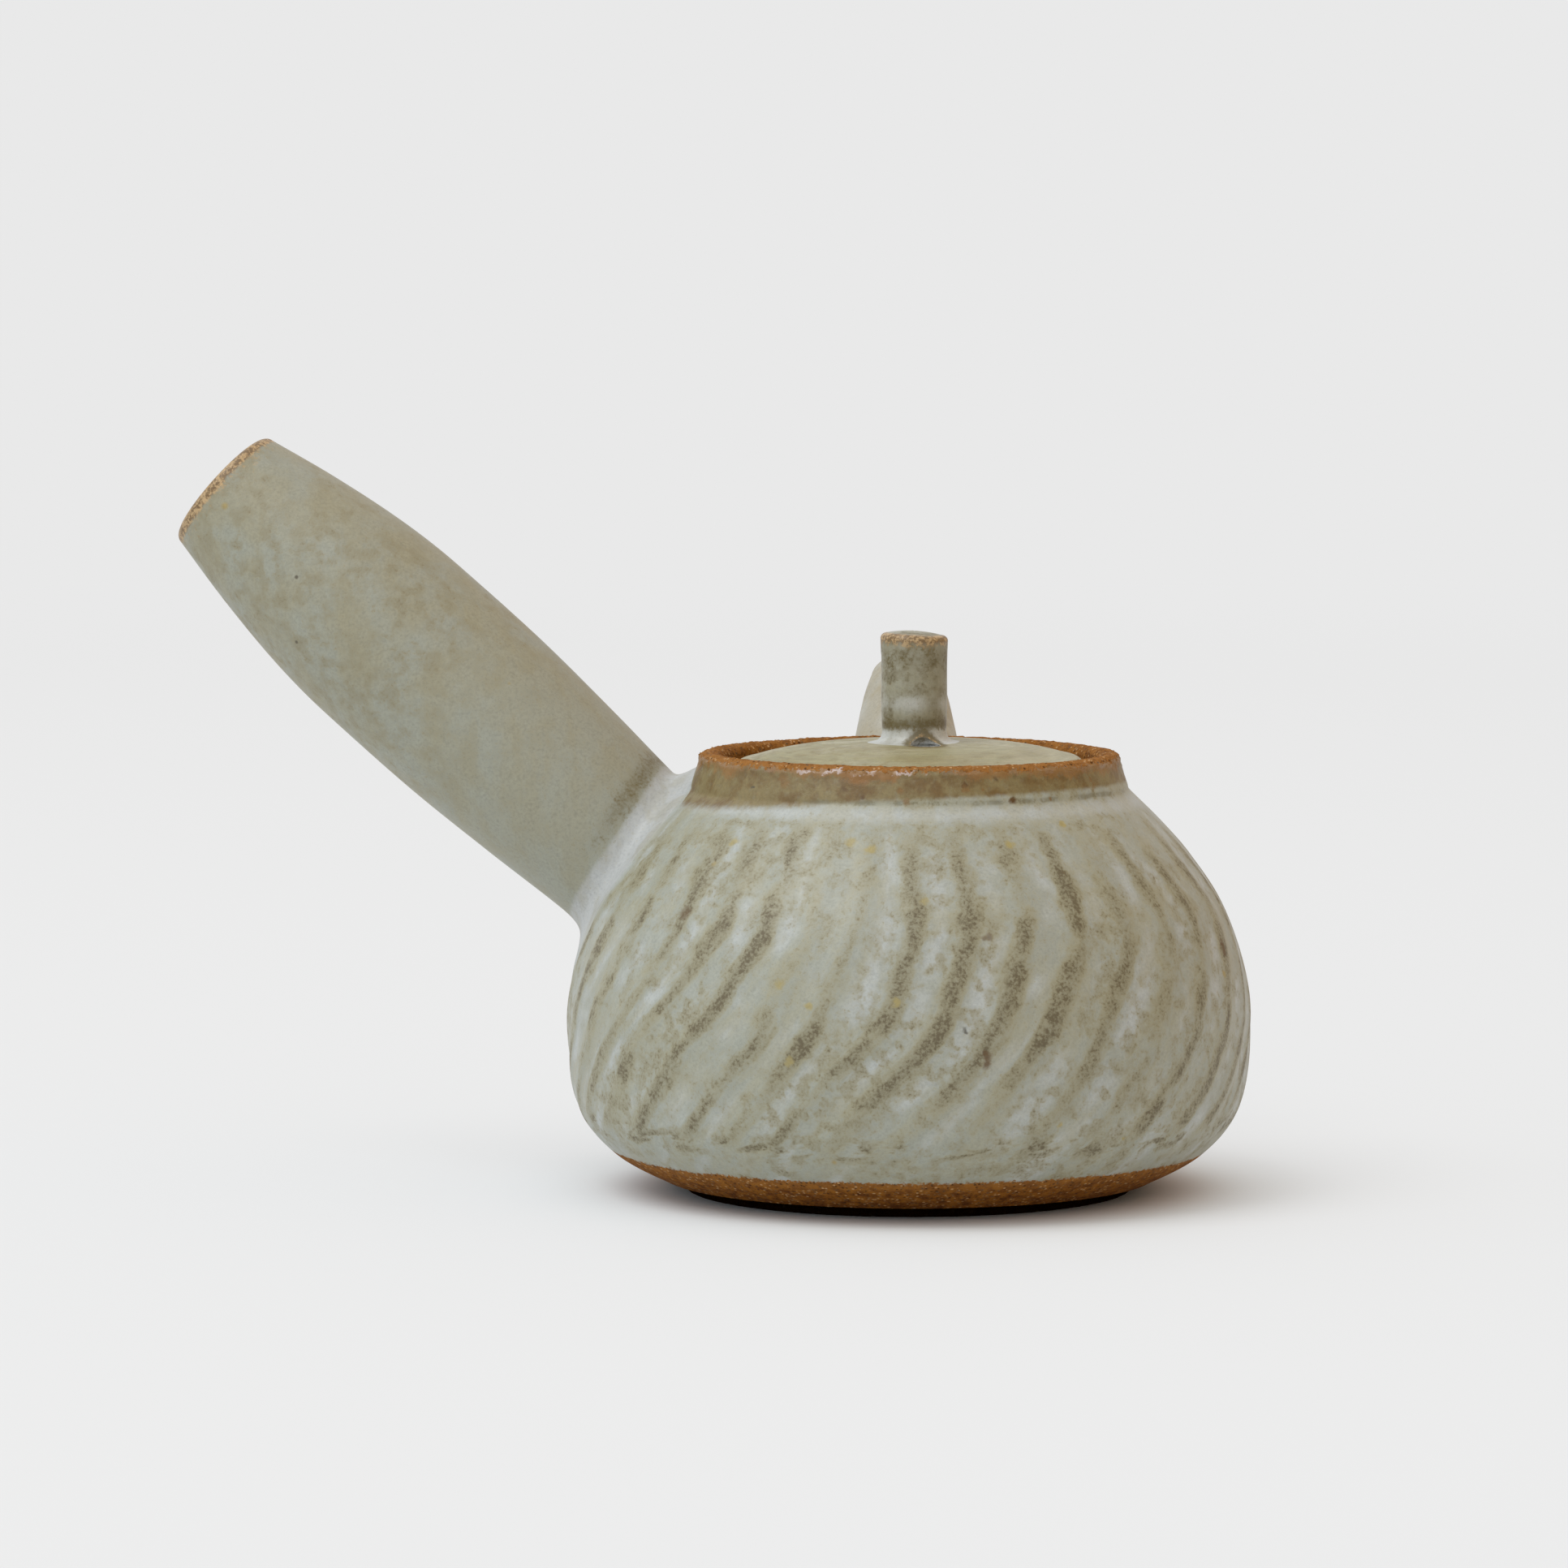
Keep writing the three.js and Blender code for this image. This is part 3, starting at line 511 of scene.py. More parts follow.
def tube_surface(tube):
    """A tube and the smoothed clay at its joint as one grid of points, in rows from the
    pot's surface up the hollow curve, along the outside, over the lip and down the bore.
    The curve at each angle is a cubic that leaves the pot along the pot's own surface and
    meets the tube along the tube's side. Returns the grid, the row where the tube
    starts, the height along the axis of each point, and the angle of each column."""
    matrix = tube_frame(tube)
    angle = np.arange(tube["columns"]) * TURN / tube["columns"]
    points = [(tube["start"] + tube["length"] * a, tube["radius"] * b) for a, b in tube["shares"]]
    line = smooth_line(points, 200)
    tip = tube["start"] + tube["length"]

    def radius_at(s):
        return np.interp(s, line[:, 0], line[:, 1])

    def rest_at(radius):
        return wall_distance(matrix, angle, lambda s: radius)

    joint = wall_distance(matrix, angle, radius_at)
    uneven = 1 + wobble(angle, 11, 0.16, 5)
    crest = tube["fillet_crest"] * np.clip(np.sin(angle), 0, 1) ** 2
    trough = trough_at(tube, angle)
    top_s = joint + tube["fillet_up"] * uneven + 1.8 * crest + trough
    top = np.stack([radius_at(top_s), top_s], 1)
    out = radius_at(joint) + tube["fillet_out"] * uneven - 0.5 * crest + 0.25 * trough
    pot_point = np.stack([out, rest_at(out)], 1)
    # the pot's surface near the joint is ridged, so its slope is smoothed round the ring
    step = 0.4
    slope = smoothed((rest_at(out + step) - rest_at(out - step)) / (2 * step), 9, "wrap")
    on_pot = unit(np.stack([np.ones_like(slope), slope], 1))
    rise = radius_at(top_s + 0.5) - radius_at(top_s - 0.5)
    on_tube = unit(np.stack([rise, np.ones_like(rise)], 1))
    # at its crest the clay meets the collar at an angle, and elsewhere it runs out along
    # the pot's side
    level = np.array([-math.sin(tube["tilt"]), math.cos(tube["tilt"])])
    turned = 0.75 * crest[:, None]
    leave = -on_pot * (1 - turned) + level * turned
    reach = np.linalg.norm(top - pot_point, axis=1, keepdims=True)
    arm = reach * (0.5 - 0.1 * crest[:, None])
    curve = np.linspace(0, 1, HOLLOW_ROWS)
    hollow = bezier(pot_point, pot_point + leave * arm, top - on_tube * arm, top, curve)
    # two rows that run on under the pot's surface
    under = np.stack([pot_point + on_pot * 0.9 - [0, 0.7], pot_point + on_pot * 0.4 - [0, 0.2]])

    s = top_s + (tip - top_s) * np.linspace(0, 1, OUTSIDE_ROWS + 1)[1:, None]
    outside = np.stack([radius_at(s), s], -1)
    edge = arc(line[-1, 1] - tube["lip"] / 2, tip, tube["lip"] / 2, 0, 180, LIP_ROWS + 1)[1:]
    edge = np.repeat(edge[:, None, :], tube["columns"], 1)
    s = tip + (joint - tip) * np.linspace(0, 1, BORE_ROWS + 1)[1:, None]
    share = (s - joint) / (tip - joint)
    wall = tube["wall"] + (tube["lip"] - tube["wall"]) * share**2
    bore = np.stack([radius_at(s) - wall, s], -1)
    rows = np.concatenate([under, hollow, outside, edge, bore])
    r, s = rows[..., 0], rows[..., 1]
    return placed(polar(r, angle, s), matrix), len(under) + len(hollow), s, angle


def gathered_glaze(tube, root, s, angle):
    """How thick the glaze lies at a tube's root: thickest in the joint's hollow, and thinning
    out along the first few millimetres of the tube."""
    beyond = np.maximum(0, s - s[root - 1] + trough_at(tube, angle))
    return 2 * bell(beyond, 0, 1.7)


def collar_height(points):
    """How far points stand above the lower edge of the collar's thin glaze, in millimetres.
    The edge dips and goes soft on the handle's side, and it rises at the right."""
    angle = np.arctan2(points[..., 1], points[..., 0])
    dip = np.maximum(0, -np.cos(angle - 0.2))
    rise = np.maximum(0, np.cos(angle + 0.7))
    edge = 64.6 - 2.1 * dip**3 + 1.55 * rise**1.2 + wobble(angle, 25, 0.15, 16)
    return (points[..., 2] - edge) / (1 + dip)


def split_piece(name, grid, normals, rows, floats):
    """Part of a grid as an object that keeps the whole grid's normals, so that the glaze
    runs on unbroken over its edge."""
    part = grid[rows]
    values = {k: v[rows].ravel() for k, v in floats.items()}
    piece = new_mesh(name, part.reshape(-1, 3), [grid_faces(*part.shape[:2])], values)
    piece.data.normals_split_custom_set_from_vertices(normals[rows].reshape(-1, 3))
    return piece


def tube_and_joint(grid, root, floats, tube_name, joint_name):
    """A tube and the clay at its joint, which share one row of points."""
    normals = grid_normals(grid)
    joint = split_piece(joint_name, grid, normals, slice(0, root), floats)
    return split_piece(tube_name, grid, normals, slice(root - 1, None), floats), joint


def lid_dome(radius):
    """Height of the lid's top above its seat."""
    share = radius / (LID_RADIUS - LID_EDGE_ROUND)
    return LID_EDGE + LID_RISE * (1 - share**LID_FULLNESS)


def pot_outline():
    """The pot's outline as radius and height, from the middle of the foot up the outside,
    over the lip, down the gallery and back along the inside, and the number of its rows
    that lie outside."""
    lip_z = RIM_HEIGHT - LIP_ROUND
    foot = np.vstack(
        [
            [(4, 0), (14, 0), (24, 0), (31, 0), (34.2, 0), (35.0, 0)],
            arc(FOOT_RADIUS - FOOT_ROUND, FOOT_ROUND, FOOT_ROUND, -70, 0, 5),
            [(FOOT_RADIUS, 1.1), (FOOT_RADIUS + 0.35, 1.55), (FOOT_RADIUS + 1.4, 1.72)],
            [(BELLY_EDGE[0] - 0.8, 1.8)],
        ]
    )
    collar = np.vstack(
        [
            [(SHOULDER_TOP[0] - 0.3, 64.08), (COLLAR_FOOT + 0.32, 64.4)],
            [(COLLAR_FOOT + 0.1, 64.7), (COLLAR_FOOT + 0.04, 65.0)],
            np.linspace((COLLAR_FOOT - 0.02, 65.3), (LIP_OUTER, lip_z), 9),
            arc(LIP_OUTER - LIP_ROUND, lip_z, LIP_ROUND, 12, 90, 9),
        ]
    )
    gallery = np.vstack(
        [
            arc(LIP_INNER + LIP_ROUND, lip_z, LIP_ROUND, 90, 180, 9),
            np.linspace((LIP_INNER, 68.2), (LIP_INNER, LEDGE_HEIGHT + 0.4), 5),
            [(LIP_INNER - 0.12, LEDGE_HEIGHT + 0.1), (LIP_INNER - 0.5, LEDGE_HEIGHT)],
            np.linspace((LIP_INNER - 1.4, LEDGE_HEIGHT), (MOUTH_RADIUS + 0.5, LEDGE_HEIGHT), 4),
            [(MOUTH_RADIUS + 0.1, LEDGE_HEIGHT - 0.12), (MOUTH_RADIUS, LEDGE_HEIGHT - 0.5)],
            [(MOUTH_RADIUS, 63.2), (MOUTH_RADIUS, LEDGE_UNDERSIDE + 0.5)],
            [(MOUTH_RADIUS + 0.6, LEDGE_UNDERSIDE)],
        ]
    )
    normal = unit(np.stack([np.gradient(BELLY[:, 1]), -np.gradient(BELLY[:, 0])], 1))
    wall = (BELLY - normal * BODY_WALL)[::-1]
    wall = wall[(wall[:, 1] > FLOOR_THICKNESS + 2.2) & (wall[:, 1] < LEDGE_UNDERSIDE - 1)][::3]
    floor = [(wall[-1, 0] - 4, FLOOR_THICKNESS)] + [(r, FLOOR_THICKNESS) for r in (30, 18, 6)]
    corner = [(wall[-1, 0] - 1.6, FLOOR_THICKNESS + 0.7)]
    line = np.vstack([foot, BELLY, collar, gallery, wall, corner, floor])
    return line, len(foot) + len(BELLY) + len(collar)


def make_pot_body():
    """The thrown pot as rings of points along its outline. Each column follows one phase
    of the flutes, so every ridge is a line of points."""
    line, outer_rows = pot_outline()
    is_outside = (np.arange(len(line)) < outer_rows)[:, None]
    columns = FLUTES * FLUTE_COLUMNS
    r, z = line[:, :1], np.repeat(line[:, 1:], columns, 1)
    phase = np.broadcast_to(np.arange(columns) / FLUTE_COLUMNS, z.shape)
    angle = ridge_angle(phase, z)
    cut = np.where(is_outside, flute_cut(phase, z), 0)
    # the throwing rings and the slight unevenness of a lip finished by hand
    lip = bell(z, 69.6, 1.6) * (r > 29) * (r < 36)
    grit = np.random.default_rng(12).normal(0, 1, z.shape)
    grit = (grit + np.roll(grit, 1, 1) + np.roll(grit, 1, 0)) / 3
    uneven = wobble(angle, 3, 0.3, 14) + wobble(angle, 8, 0.14, 60)
    radius = r - cut + lip * (uneven * 0.8 + grit * 0.12)
    uneven = wobble(angle, 5, 0.3, 12) + wobble(angle, 6, 0.16, 70)
    z = z + lip * (uneven + grit * 0.14) * (z > 69)
    radius = radius + np.where(is_outside & (z > 2), wobble(angle + z * 0.02, 9, 0.1, 6), 0)
    grid = polar(radius, angle, z)

    ridge = between_ridges(RIDGE_STRENGTH, np.round(phase) % FLUTES, z)
    ridge_mm = np.abs((phase + 0.5) % 1 - 0.5) * TURN * radius / FLUTES
    glaze_line = GLAZE_FOOT + wobble(angle, 21, 0.55, 26)
    rim_line = GLAZE_RIM + wobble(angle, 23, 0.4, 30)
    in_gallery = ~is_outside & (z > LEDGE_UNDERSIDE - 2)
    bare = np.maximum(glaze_line - z, z - rim_line)
    bare = np.where(is_outside, bare, np.where(in_gallery, 1.5, -3))
    # thick glaze gathers under the collar's line and round the handle's and spout's joints
    pool = 0.8 * bell(z, GLAZE_ROLL, 1.3) * is_outside
    collar_mm = collar_height(grid)
    for tube in (HANDLE, SPOUT):
        local = (grid - [0, 0, tube["aim"]]) @ tube_frame(tube)[:3, :3]
        off_axis = np.hypot(local[..., 0], local[..., 1])
        width = tube["radius"] * 0.87 + tube["fillet_out"]
        above = local[..., 2] > 0
        pool = np.maximum(pool, np.clip((width + 3.5 - off_axis) / 3.5, 0, 1) * above)
        # and there it covers the collar too
        collar_mm = collar_mm - 5 * np.clip((width + 1.8 - off_axis) / 2.6, 0, 1) * above
    # the glaze breaks less on the ridges near the collar and near the foot, where it lies
    # in level smudges
    calm = np.clip((64.8 - z) / 9, 0, 1) * np.clip((z - 10.5) / 4, 0.1, 1)
    floats = {
        "ridge_mm": np.where(is_outside, ridge_mm, 6),
        "ridge": np.where(is_outside, ridge * calm, 0),
        "smudge": is_outside * bell(z, GLAZE_SMUDGES, 2.2),
        "bare_mm": bare,
        "pool": pool,
        "collar_mm": collar_mm,
        "toast": np.clip((z - 66.5) / 2.5, 0, 1),
        # painted shadow: the foot's lower wall, painted near black for the dark gap under the pot
        "soot": (z > 0.01) * (z < 1.79) * np.clip((r - 34) / 1.5, 0, 1) * is_outside,
    }
    flow = polar(radius, TURN * phase / FLUTES, z)
    body = turned_grid("fluted_pot_body", grid, floats, flow=flow)
    ends = SPOUT["start"] - 14, SPOUT["start"] + 4
    return finished(body, rod("port", tube_frame(SPOUT), PORT_RADIUS, *ends, 48), sharp=50)


def make_handle():
    """The hollow handle and its joint's clay. The lip wears a thin golden glaze, and the
    clay is bare in the mouth of the bore."""
    grid, root, s, angle = tube_surface(HANDLE)
    tip = HANDLE["start"] + HANDLE["length"]
    outer = len(grid) - BORE_ROWS - LIP_ROWS
    row = np.arange(len(grid))[:, None]
    bare = np.where(row < outer, -3, -0.3 + wobble(angle, 33, 0.25, 30))
    in_bore = row >= outer + 3 * LIP_ROWS // 4
    bare = np.where(in_bore, np.minimum(0.5, s - tip + 5), bare)
    off_lip = np.where(row < outer, tip - s, 0)
    worn = 0.8 * bell(off_lip, 0, 0.35) + 0.4 * bell(off_lip, 0, 2.6)
    gathered = gathered_glaze(HANDLE, root, s, angle)
    beyond = s - s[root - 1] + trough_at(HANDLE, angle)
    brown = 0.75 * bell(beyond, 2.8, 2.2) * np.clip((grid[..., 2] - 48) / 14, 0, 1)
    floats = {
        "bare_mm": bare,
        "pool": np.maximum(gathered, 0.75 * np.clip((tip - 30 - s) / 45, 0, 1)),
        "brown": brown * (beyond > 0),
        "worn": worn * (row < outer + LIP_ROWS),
        "ridge_mm": np.full_like(s, 6.0),
    }
    return tube_and_joint(grid, root, floats, "hollow_handle", "handle_joint")


def make_spout():
    """The spout and its joint's clay, glazed all over but for the lip's edge."""
    grid, root, s, angle = tube_surface(SPOUT)
    tip = SPOUT["start"] + SPOUT["length"]
    floats = {
        "bare_mm": s - tip - 1.4 + wobble(angle, 41, 0.3, 18),
        "pool": gathered_glaze(SPOUT, root, s, angle),
        "ridge_mm": np.full_like(s, 6.0),
    }
    return tube_and_joint(grid, root, floats, "tapered_spout", "spout_joint")


def strainer_drills(matrix, centre):
    """The cutters for the strainer's holes: short rods that point at the sphere's middle,
    one on the axis and rings of them round it."""
    points, faces = [], []
    sides = STRAINER_HOLE_SIDES
    side = np.arange(sides)
    after = (side + 1) % sides
    a = (side * TURN / sides)[:, None]
    for ring in range(STRAINER_RINGS + 1):
        number = max(1, 6 * ring)
        lean = ring * STRAINER_SPACING / STRAINER_RADIUS
        for turn in np.arange(number) * TURN / number:
            level = np.array([math.cos(turn), math.sin(turn), 0])
            out = math.sin(lean) * level - [0, 0, math.cos(lean)]
            across = np.cross(out, [math.sin(turn), -math.cos(turn), 0])
            circle = STRAINER_HOLE * (np.cos(a) * across + np.sin(a) * np.cross(out, across))
            ring_faces = np.stack([side, after, after + sides, side + sides], 1)
            faces.append(ring_faces + len(points) * sides)
            for depth in (STRAINER_RADIUS - 3.6, STRAINER_RADIUS + 1.4):
                points.append(circle + out * depth + [0, 0, centre])
    drills = new_mesh("drills", placed(np.vstack(points), matrix), faces)
    built = bmesh.new()
    built.from_mesh(drills.data)
    bmesh.ops.holes_fill(built, edges=built.edges, sides=sides)
    bmesh.ops.recalc_face_normals(built, faces=built.faces)
    built.to_mesh(drills.data)
    built.free()
    return drills


def make_strainer():
    """Part of a spherical shell about the spout's axis, with rings of holes that point at
    the sphere's middle. Each column runs from the shell's middle to where it meets the
    pot's wall, a little way into the clay, and back along the other side."""
    matrix = tube_frame(SPOUT)
    centre = SPOUT["start"] - BODY_WALL + STRAINER_RADIUS - STRAINER_BULGE
    angle = np.arange(STRAINER_COLUMNS) * TURN / STRAINER_COLUMNS

    def shell_points(radius, lean):
        return placed(polar(radius * np.sin(lean), angle, centre - radius * np.cos(lean)), matrix)

    leans = np.radians(np.arange(20, 90.1, 0.5))[:, None] + 0 * angle
    p = shell_points(STRAINER_RADIUS, leans)
    wall = np.interp(p[..., 2], BELLY[:, 1], BELLY[:, 0]) - (BODY_WALL - STRAINER_GRIP)
    inside = np.hypot(p[..., 0], p[..., 1]) < wall
    limit = leans[np.argmin(inside, axis=0), np.arange(STRAINER_COLUMNS)]
    share = np.linspace(0.02, 1, 26)[:, None]
    outer = shell_points(STRAINER_RADIUS, share * limit)
    inner = shell_points(STRAINER_RADIUS - STRAINER_THICKNESS, share[::-1] * limit)
    shell = turned_grid("pierced_strainer", np.concatenate([outer, inner]))
    shell = finished(shell, strainer_drills(matrix, centre), sharp=40)
    return coat(shell, {"bare_mm": -3, "ridge_mm": 6})


def vent_frame():
    """The vent's own axes: its Z points up and out from the middle of the lid."""
    lean = Matrix.Rotation(math.pi / 2 - VENT_TILT, 4, "Y")
    return (
        Matrix.Translation((KNOB_OFFSET, 0, LID_SEAT))
        @ Matrix.Rotation(VENT_AZIMUTH, 4, "Z")
        @ Matrix.Translation((VENT_OFFSET, 0, lid_dome(VENT_OFFSET)))
        @ lean
    )


def from_vent(points):
    """Distance outside the vent's wall, and height along its axis."""
    m = np.array(vent_frame())
    local = (points - m[:3, 3]) @ m[:3, :3]
    return np.hypot(local[..., 0], local[..., 1]) - VENT_RADIUS, local[..., 2]


def by_vent(points, strength, width):
    """A value that fades away from the vent's edge: how brown or how worn the glaze is."""
    near, height = from_vent(points)
    return strength * bell(near, 0, width) * (height > -4)


def vent_wall_painted_shade(points):
    """Painted shade on the vent's wall: white glaze low down, and brown towards its upper
    edge, where the wall lies in shade.
    """
    return np.clip((points[:, 2] - LID_SEAT - lid_dome(VENT_OFFSET) + 0.4) / 1.2, 0, 1.3)


def in_vent(points):
    """Whether points lie on the vent's wall."""
    return np.abs(from_vent(points)[0]) < 0.04


# How strongly and how far out the glaze is brown and worn round the vent, and the glaze on
# its wall: painted shade towards its upper edge, and pooled glaze painted near white low
# down, as painted light against the hole's shade.
VENT_STAIN = (1.6, 1.2)
VENT_WEAR = (0.8, 0.45)
VENT_WALL_GLAZE_AND_PAINTED_LIGHT = {"bare_mm": -3, "pool": 3, "brown": vent_wall_painted_shade, "worn": 0, "ridge_mm": 6}


def vented(piece, sharp):
    """A piece with the vent cut through it and glaze on the vent's wall, with painted shade
    and painted light on it.
    """
    cutter = rod("vent", vent_frame(), VENT_RADIUS, -VENT_REACH, VENT_REACH)
    return coat(finished(piece, cutter, sharp=sharp), VENT_WALL_GLAZE_AND_PAINTED_LIGHT, in_vent)


def make_lid():
    """The lid turned from the middle of its underside, round the flange and the edge and
    over the dome."""
    edge = LID_RADIUS - LID_EDGE_ROUND
    under_top = LID_EDGE + LID_RISE - LID_THICKNESS
    flange_foot = FLANGE_ROUND - FLANGE_DEPTH
    line = np.vstack(
        [
            [(2, under_top), (10, under_top - 0.2), (16, under_top - 0.6)],
            [(FLANGE_INNER - 1.6, 1.3), (FLANGE_INNER - 0.5, 0.6), (FLANGE_INNER, -0.6)],
            np.linspace((FLANGE_INNER, -1.6), (FLANGE_INNER, flange_foot), 4),
            arc(FLANGE_INNER + FLANGE_ROUND, flange_foot, FLANGE_ROUND, 190, 270, 6),
            arc(FLANGE_OUTER - FLANGE_ROUND, flange_foot, FLANGE_ROUND, 270, 360, 6),
            np.linspace((FLANGE_OUTER, -5), (FLANGE_OUTER, -0.5), 4),
            [(FLANGE_OUTER + 0.4, 0), (26, 0), (LID_RADIUS - 1.1, 0)],
            arc(LID_RADIUS - 0.9, 0.9, 0.9, -75, 0, 5),
            arc(edge, LID_EDGE - LID_EDGE_ROUND, LID_EDGE_ROUND, 4, 82, 14),
        ]
    )
    tops = np.linspace(edge - 0.3, 1.5, 60)
    line = np.vstack([line, np.stack([tops, lid_dome(tops)], 1)])
    angle = np.arange(LID_COLUMNS) * TURN / LID_COLUMNS
    r, z = line[:, :1] + 0 * angle, line[:, 1:] + 0 * angle
    is_top = (np.arange(len(line)) >= LID_UNDER_ROWS)[:, None]
    z = z + np.where(is_top, wobble(angle + r * 0.05, 51, 0.07, 5) * np.clip(r / 10, 0, 1), 0)
    # it fell a little in the firing, and its right side stands higher
    z = z + is_top * 0.009 * r * np.cos(angle) * np.clip((r - 9) / 8, 0, 1)
    grid = polar(r, angle, z + LID_SEAT)
    floats = {
        "bare_mm": np.where(is_top & (z > 1.2), -3.0, 1.5),
        # paler towards the lid's right side and darker towards its left
        "pool": is_top * 0.7 * np.clip(0.3 + r * np.cos(angle) / 40, 0, 1),
        "ridge_mm": np.full_like(z, 6.0),
        "brown": by_vent(grid, *VENT_STAIN),
        "worn": by_vent(grid, *VENT_WEAR),
    }
    # the patterns on the lid lie in rings, as the wheel left them
    rings = np.stack([r, 3 * np.cos(angle) + 0 * r, 25 * np.sin(angle) + 0 * r], -1)
    return vented(turned_grid("sunk_lid", grid, floats, flow=rings), sharp=50)


def make_knob():
    """The knob and the smoothed clay at its foot: a grid about the knob's own axis, from
    the lid's dome up a cubic curve that is level with the dome, up the side and over the
    rounded edge to the middle of the top."""
    angle = np.arange(KNOB_COLUMNS) * TURN / KNOB_COLUMNS
    uneven = 1 + wobble(angle, 61, 0.2, 6)
    foot = np.full(KNOB_COLUMNS, KNOB_FOOT)
    out = KNOB_FOOT + KNOB_FILLET_OUT * uneven

    def dome(radius):
        return lid_dome(np.hypot(radius * np.cos(angle) + KNOB_OFFSET, radius * np.sin(angle)))

    step = 0.3
    slope = (dome(out + step) - dome(out - step)) / (2 * step)
    on_lid = np.stack([np.ones_like(slope), slope], 1)
    rest = np.stack([out, dome(out)], 1)
    top = np.stack([foot, dome(foot) + KNOB_FILLET_UP * uneven], 1)
    arm = np.linalg.norm(top - rest, axis=1, keepdims=True) * 0.5
    hollow = bezier(rest, rest - on_lid * arm, top - [0, 1] * arm, top, np.linspace(0, 1, 16))
    under = np.stack([rest + on_lid * 0.8 - [0, 0.3], rest + on_lid * 0.35 - [0, 0.06]])
    crest = LID_EDGE + LID_RISE + KNOB_HEIGHT - KNOB_CROWN
    share = np.linspace(0, 1, 28)[1:, None]
    z = top[:, 1] + (crest - KNOB_ROUND - top[:, 1]) * share
    # a slight waist, as the fingers leave it
    r = KNOB_FOOT + (KNOB_TOP - KNOB_FOOT) * share + 0.06 * np.sin(share * TURN)
    side = np.stack([r + 0 * angle, z], -1)
    edge = arc(KNOB_TOP - KNOB_ROUND, crest - KNOB_ROUND, KNOB_ROUND, 0, 90, 9)[1:]
    radii = np.linspace(KNOB_TOP - KNOB_ROUND - 0.3, 0.4, 10)
    crown = crest + KNOB_CROWN * (1 - (radii / (KNOB_TOP - KNOB_ROUND)) ** 2)
    cap = np.vstack([edge, np.stack([radii, crown], 1)])
    cap = np.repeat(cap[:, None, :], KNOB_COLUMNS, 1)
    rows = np.concatenate([under, hollow, side, cap])
    r, z = rows[..., 0], rows[..., 1]
    # the top was cut by hand, and falls a little to the right
    high = np.clip((z - crest + 6) / 6, 0, 1)
    z = z - high * (r * np.cos(angle)) * 0.05 + high * wobble(angle, 63, 0.1, 5)
    r = r + np.where(z > crest - 3, wobble(angle, 64, 0.12, 7), 0) * np.clip(r / 2, 0, 1)
    grid = polar(r, angle, z + LID_SEAT) + [KNOB_OFFSET, 0, 0]
    root = len(under) + len(hollow)
    row = np.arange(len(rows))[:, None]
    # thin golden glaze over the upper edge, brown under it and just above the fillet, and
    # a paler belt between
    off_edge = np.hypot(np.maximum(0, crest - 0.4 - z), 1.8 * np.maximum(0, KNOB_TOP - 0.5 - r))
    up = (z - z[root - 1]) / (crest - z[root - 1])
    on_side = row >= root - 2
    brown = bell(up, 0.05, 0.08) + 0.65 * bell(up, 0.76, 0.16)
    pale = 0.65 * bell(up, 0.27, 0.11) * (1 + wobble(angle, 66, 0.9, 6))
    worn = 1.15 * bell(off_edge, 0, 1.5) * (1 + wobble(angle, 65, 0.4, 22))
    floats = {
        "bare_mm": -3 + 2.6 * bell(off_edge, 0, 0.6),
        "worn": np.maximum(worn, by_vent(grid, *VENT_WEAR)),
        "pool": np.maximum(1.15 * np.clip((root + 1 - row) / 4, 0, 1), pale * on_side),
        "ridge_mm": np.full_like(z, 2.6),
        "brown": np.maximum(by_vent(grid, *VENT_STAIN), brown * on_side),
    }
    made = []
    for name, part in (("knob_joint", slice(0, root)), ("lid_knob", slice(root - 1, None))):
        values = {k: v[part] for k, v in floats.items()}
        made.append(vented(turned_grid(name, grid[part], values), sharp=55))
    return made[::-1]


def linear(hex_colour):
    """An sRGB hex colour as linear light."""
    s = np.array([int(hex_colour[i : i + 2], 16) for i in (1, 3, 5)]) / 255
    lin = np.where(s <= 0.04045, s / 12.92, ((s + 0.055) / 1.055) ** 2.4)
    return (*[float(v) for v in lin], 1.0)


def per_mm(size):
    """Noise scale, in cycles per metre, for a feature of a size in millimetres."""
    return 1000 / size


# What the second word of a kind of node sets, and the kinds that are used most.
SETTINGS = {
    "Math": "operation",
    "VectorMath": "operation",
    "MapRange": "interpolation_type",
    "Mix": "data_type",
    "Attribute": "attribute_name",
}
TIMES, TIMES_PLUS = "Math MULTIPLY", "Math MULTIPLY_ADD"
MINUS, MOST = "Math SUBTRACT", "Math MAXIMUM"
NOISE, RAMP, BLEND = "TexNoise", "MapRange SMOOTHSTEP", "Mix RGBA"


def add(tree, kind, *inputs, out="", **named):
    """A shader node of a kind, with its setting as a second word. Its inputs go in order
    to the sockets in use, or by name, and each is a value, a hex colour or another node's
    output. Returns the named outputs, or else the first."""
    kind, *setting = kind.split()
    made = tree.nodes.new("ShaderNode" + kind)
    for word in setting:
        setattr(made, SETTINGS[kind], word)
    in_order = zip([socket for socket in made.inputs if socket.enabled], inputs)
    by_name = [(made.inputs[key], value) for key, value in named.items()]
    for socket, value in [*in_order, *by_name]:
        if isinstance(value, bpy.types.NodeSocket):
            tree.links.new(value, socket)
        else:
            socket.default_value = linear(value) if isinstance(value, str) else value
    first = [socket for socket in made.outputs if socket.enabled][:1]
    wanted = [made.outputs[name] for name in out.split()] or first
    return wanted[0] if len(wanted) == 1 else wanted


def emptied(owner):
    """Clears the nodes of a material or a world, and returns add for its tree."""
    owner.use_nodes = True
    owner.node_tree.nodes.clear()
    return functools.partial(add, owner.node_tree)


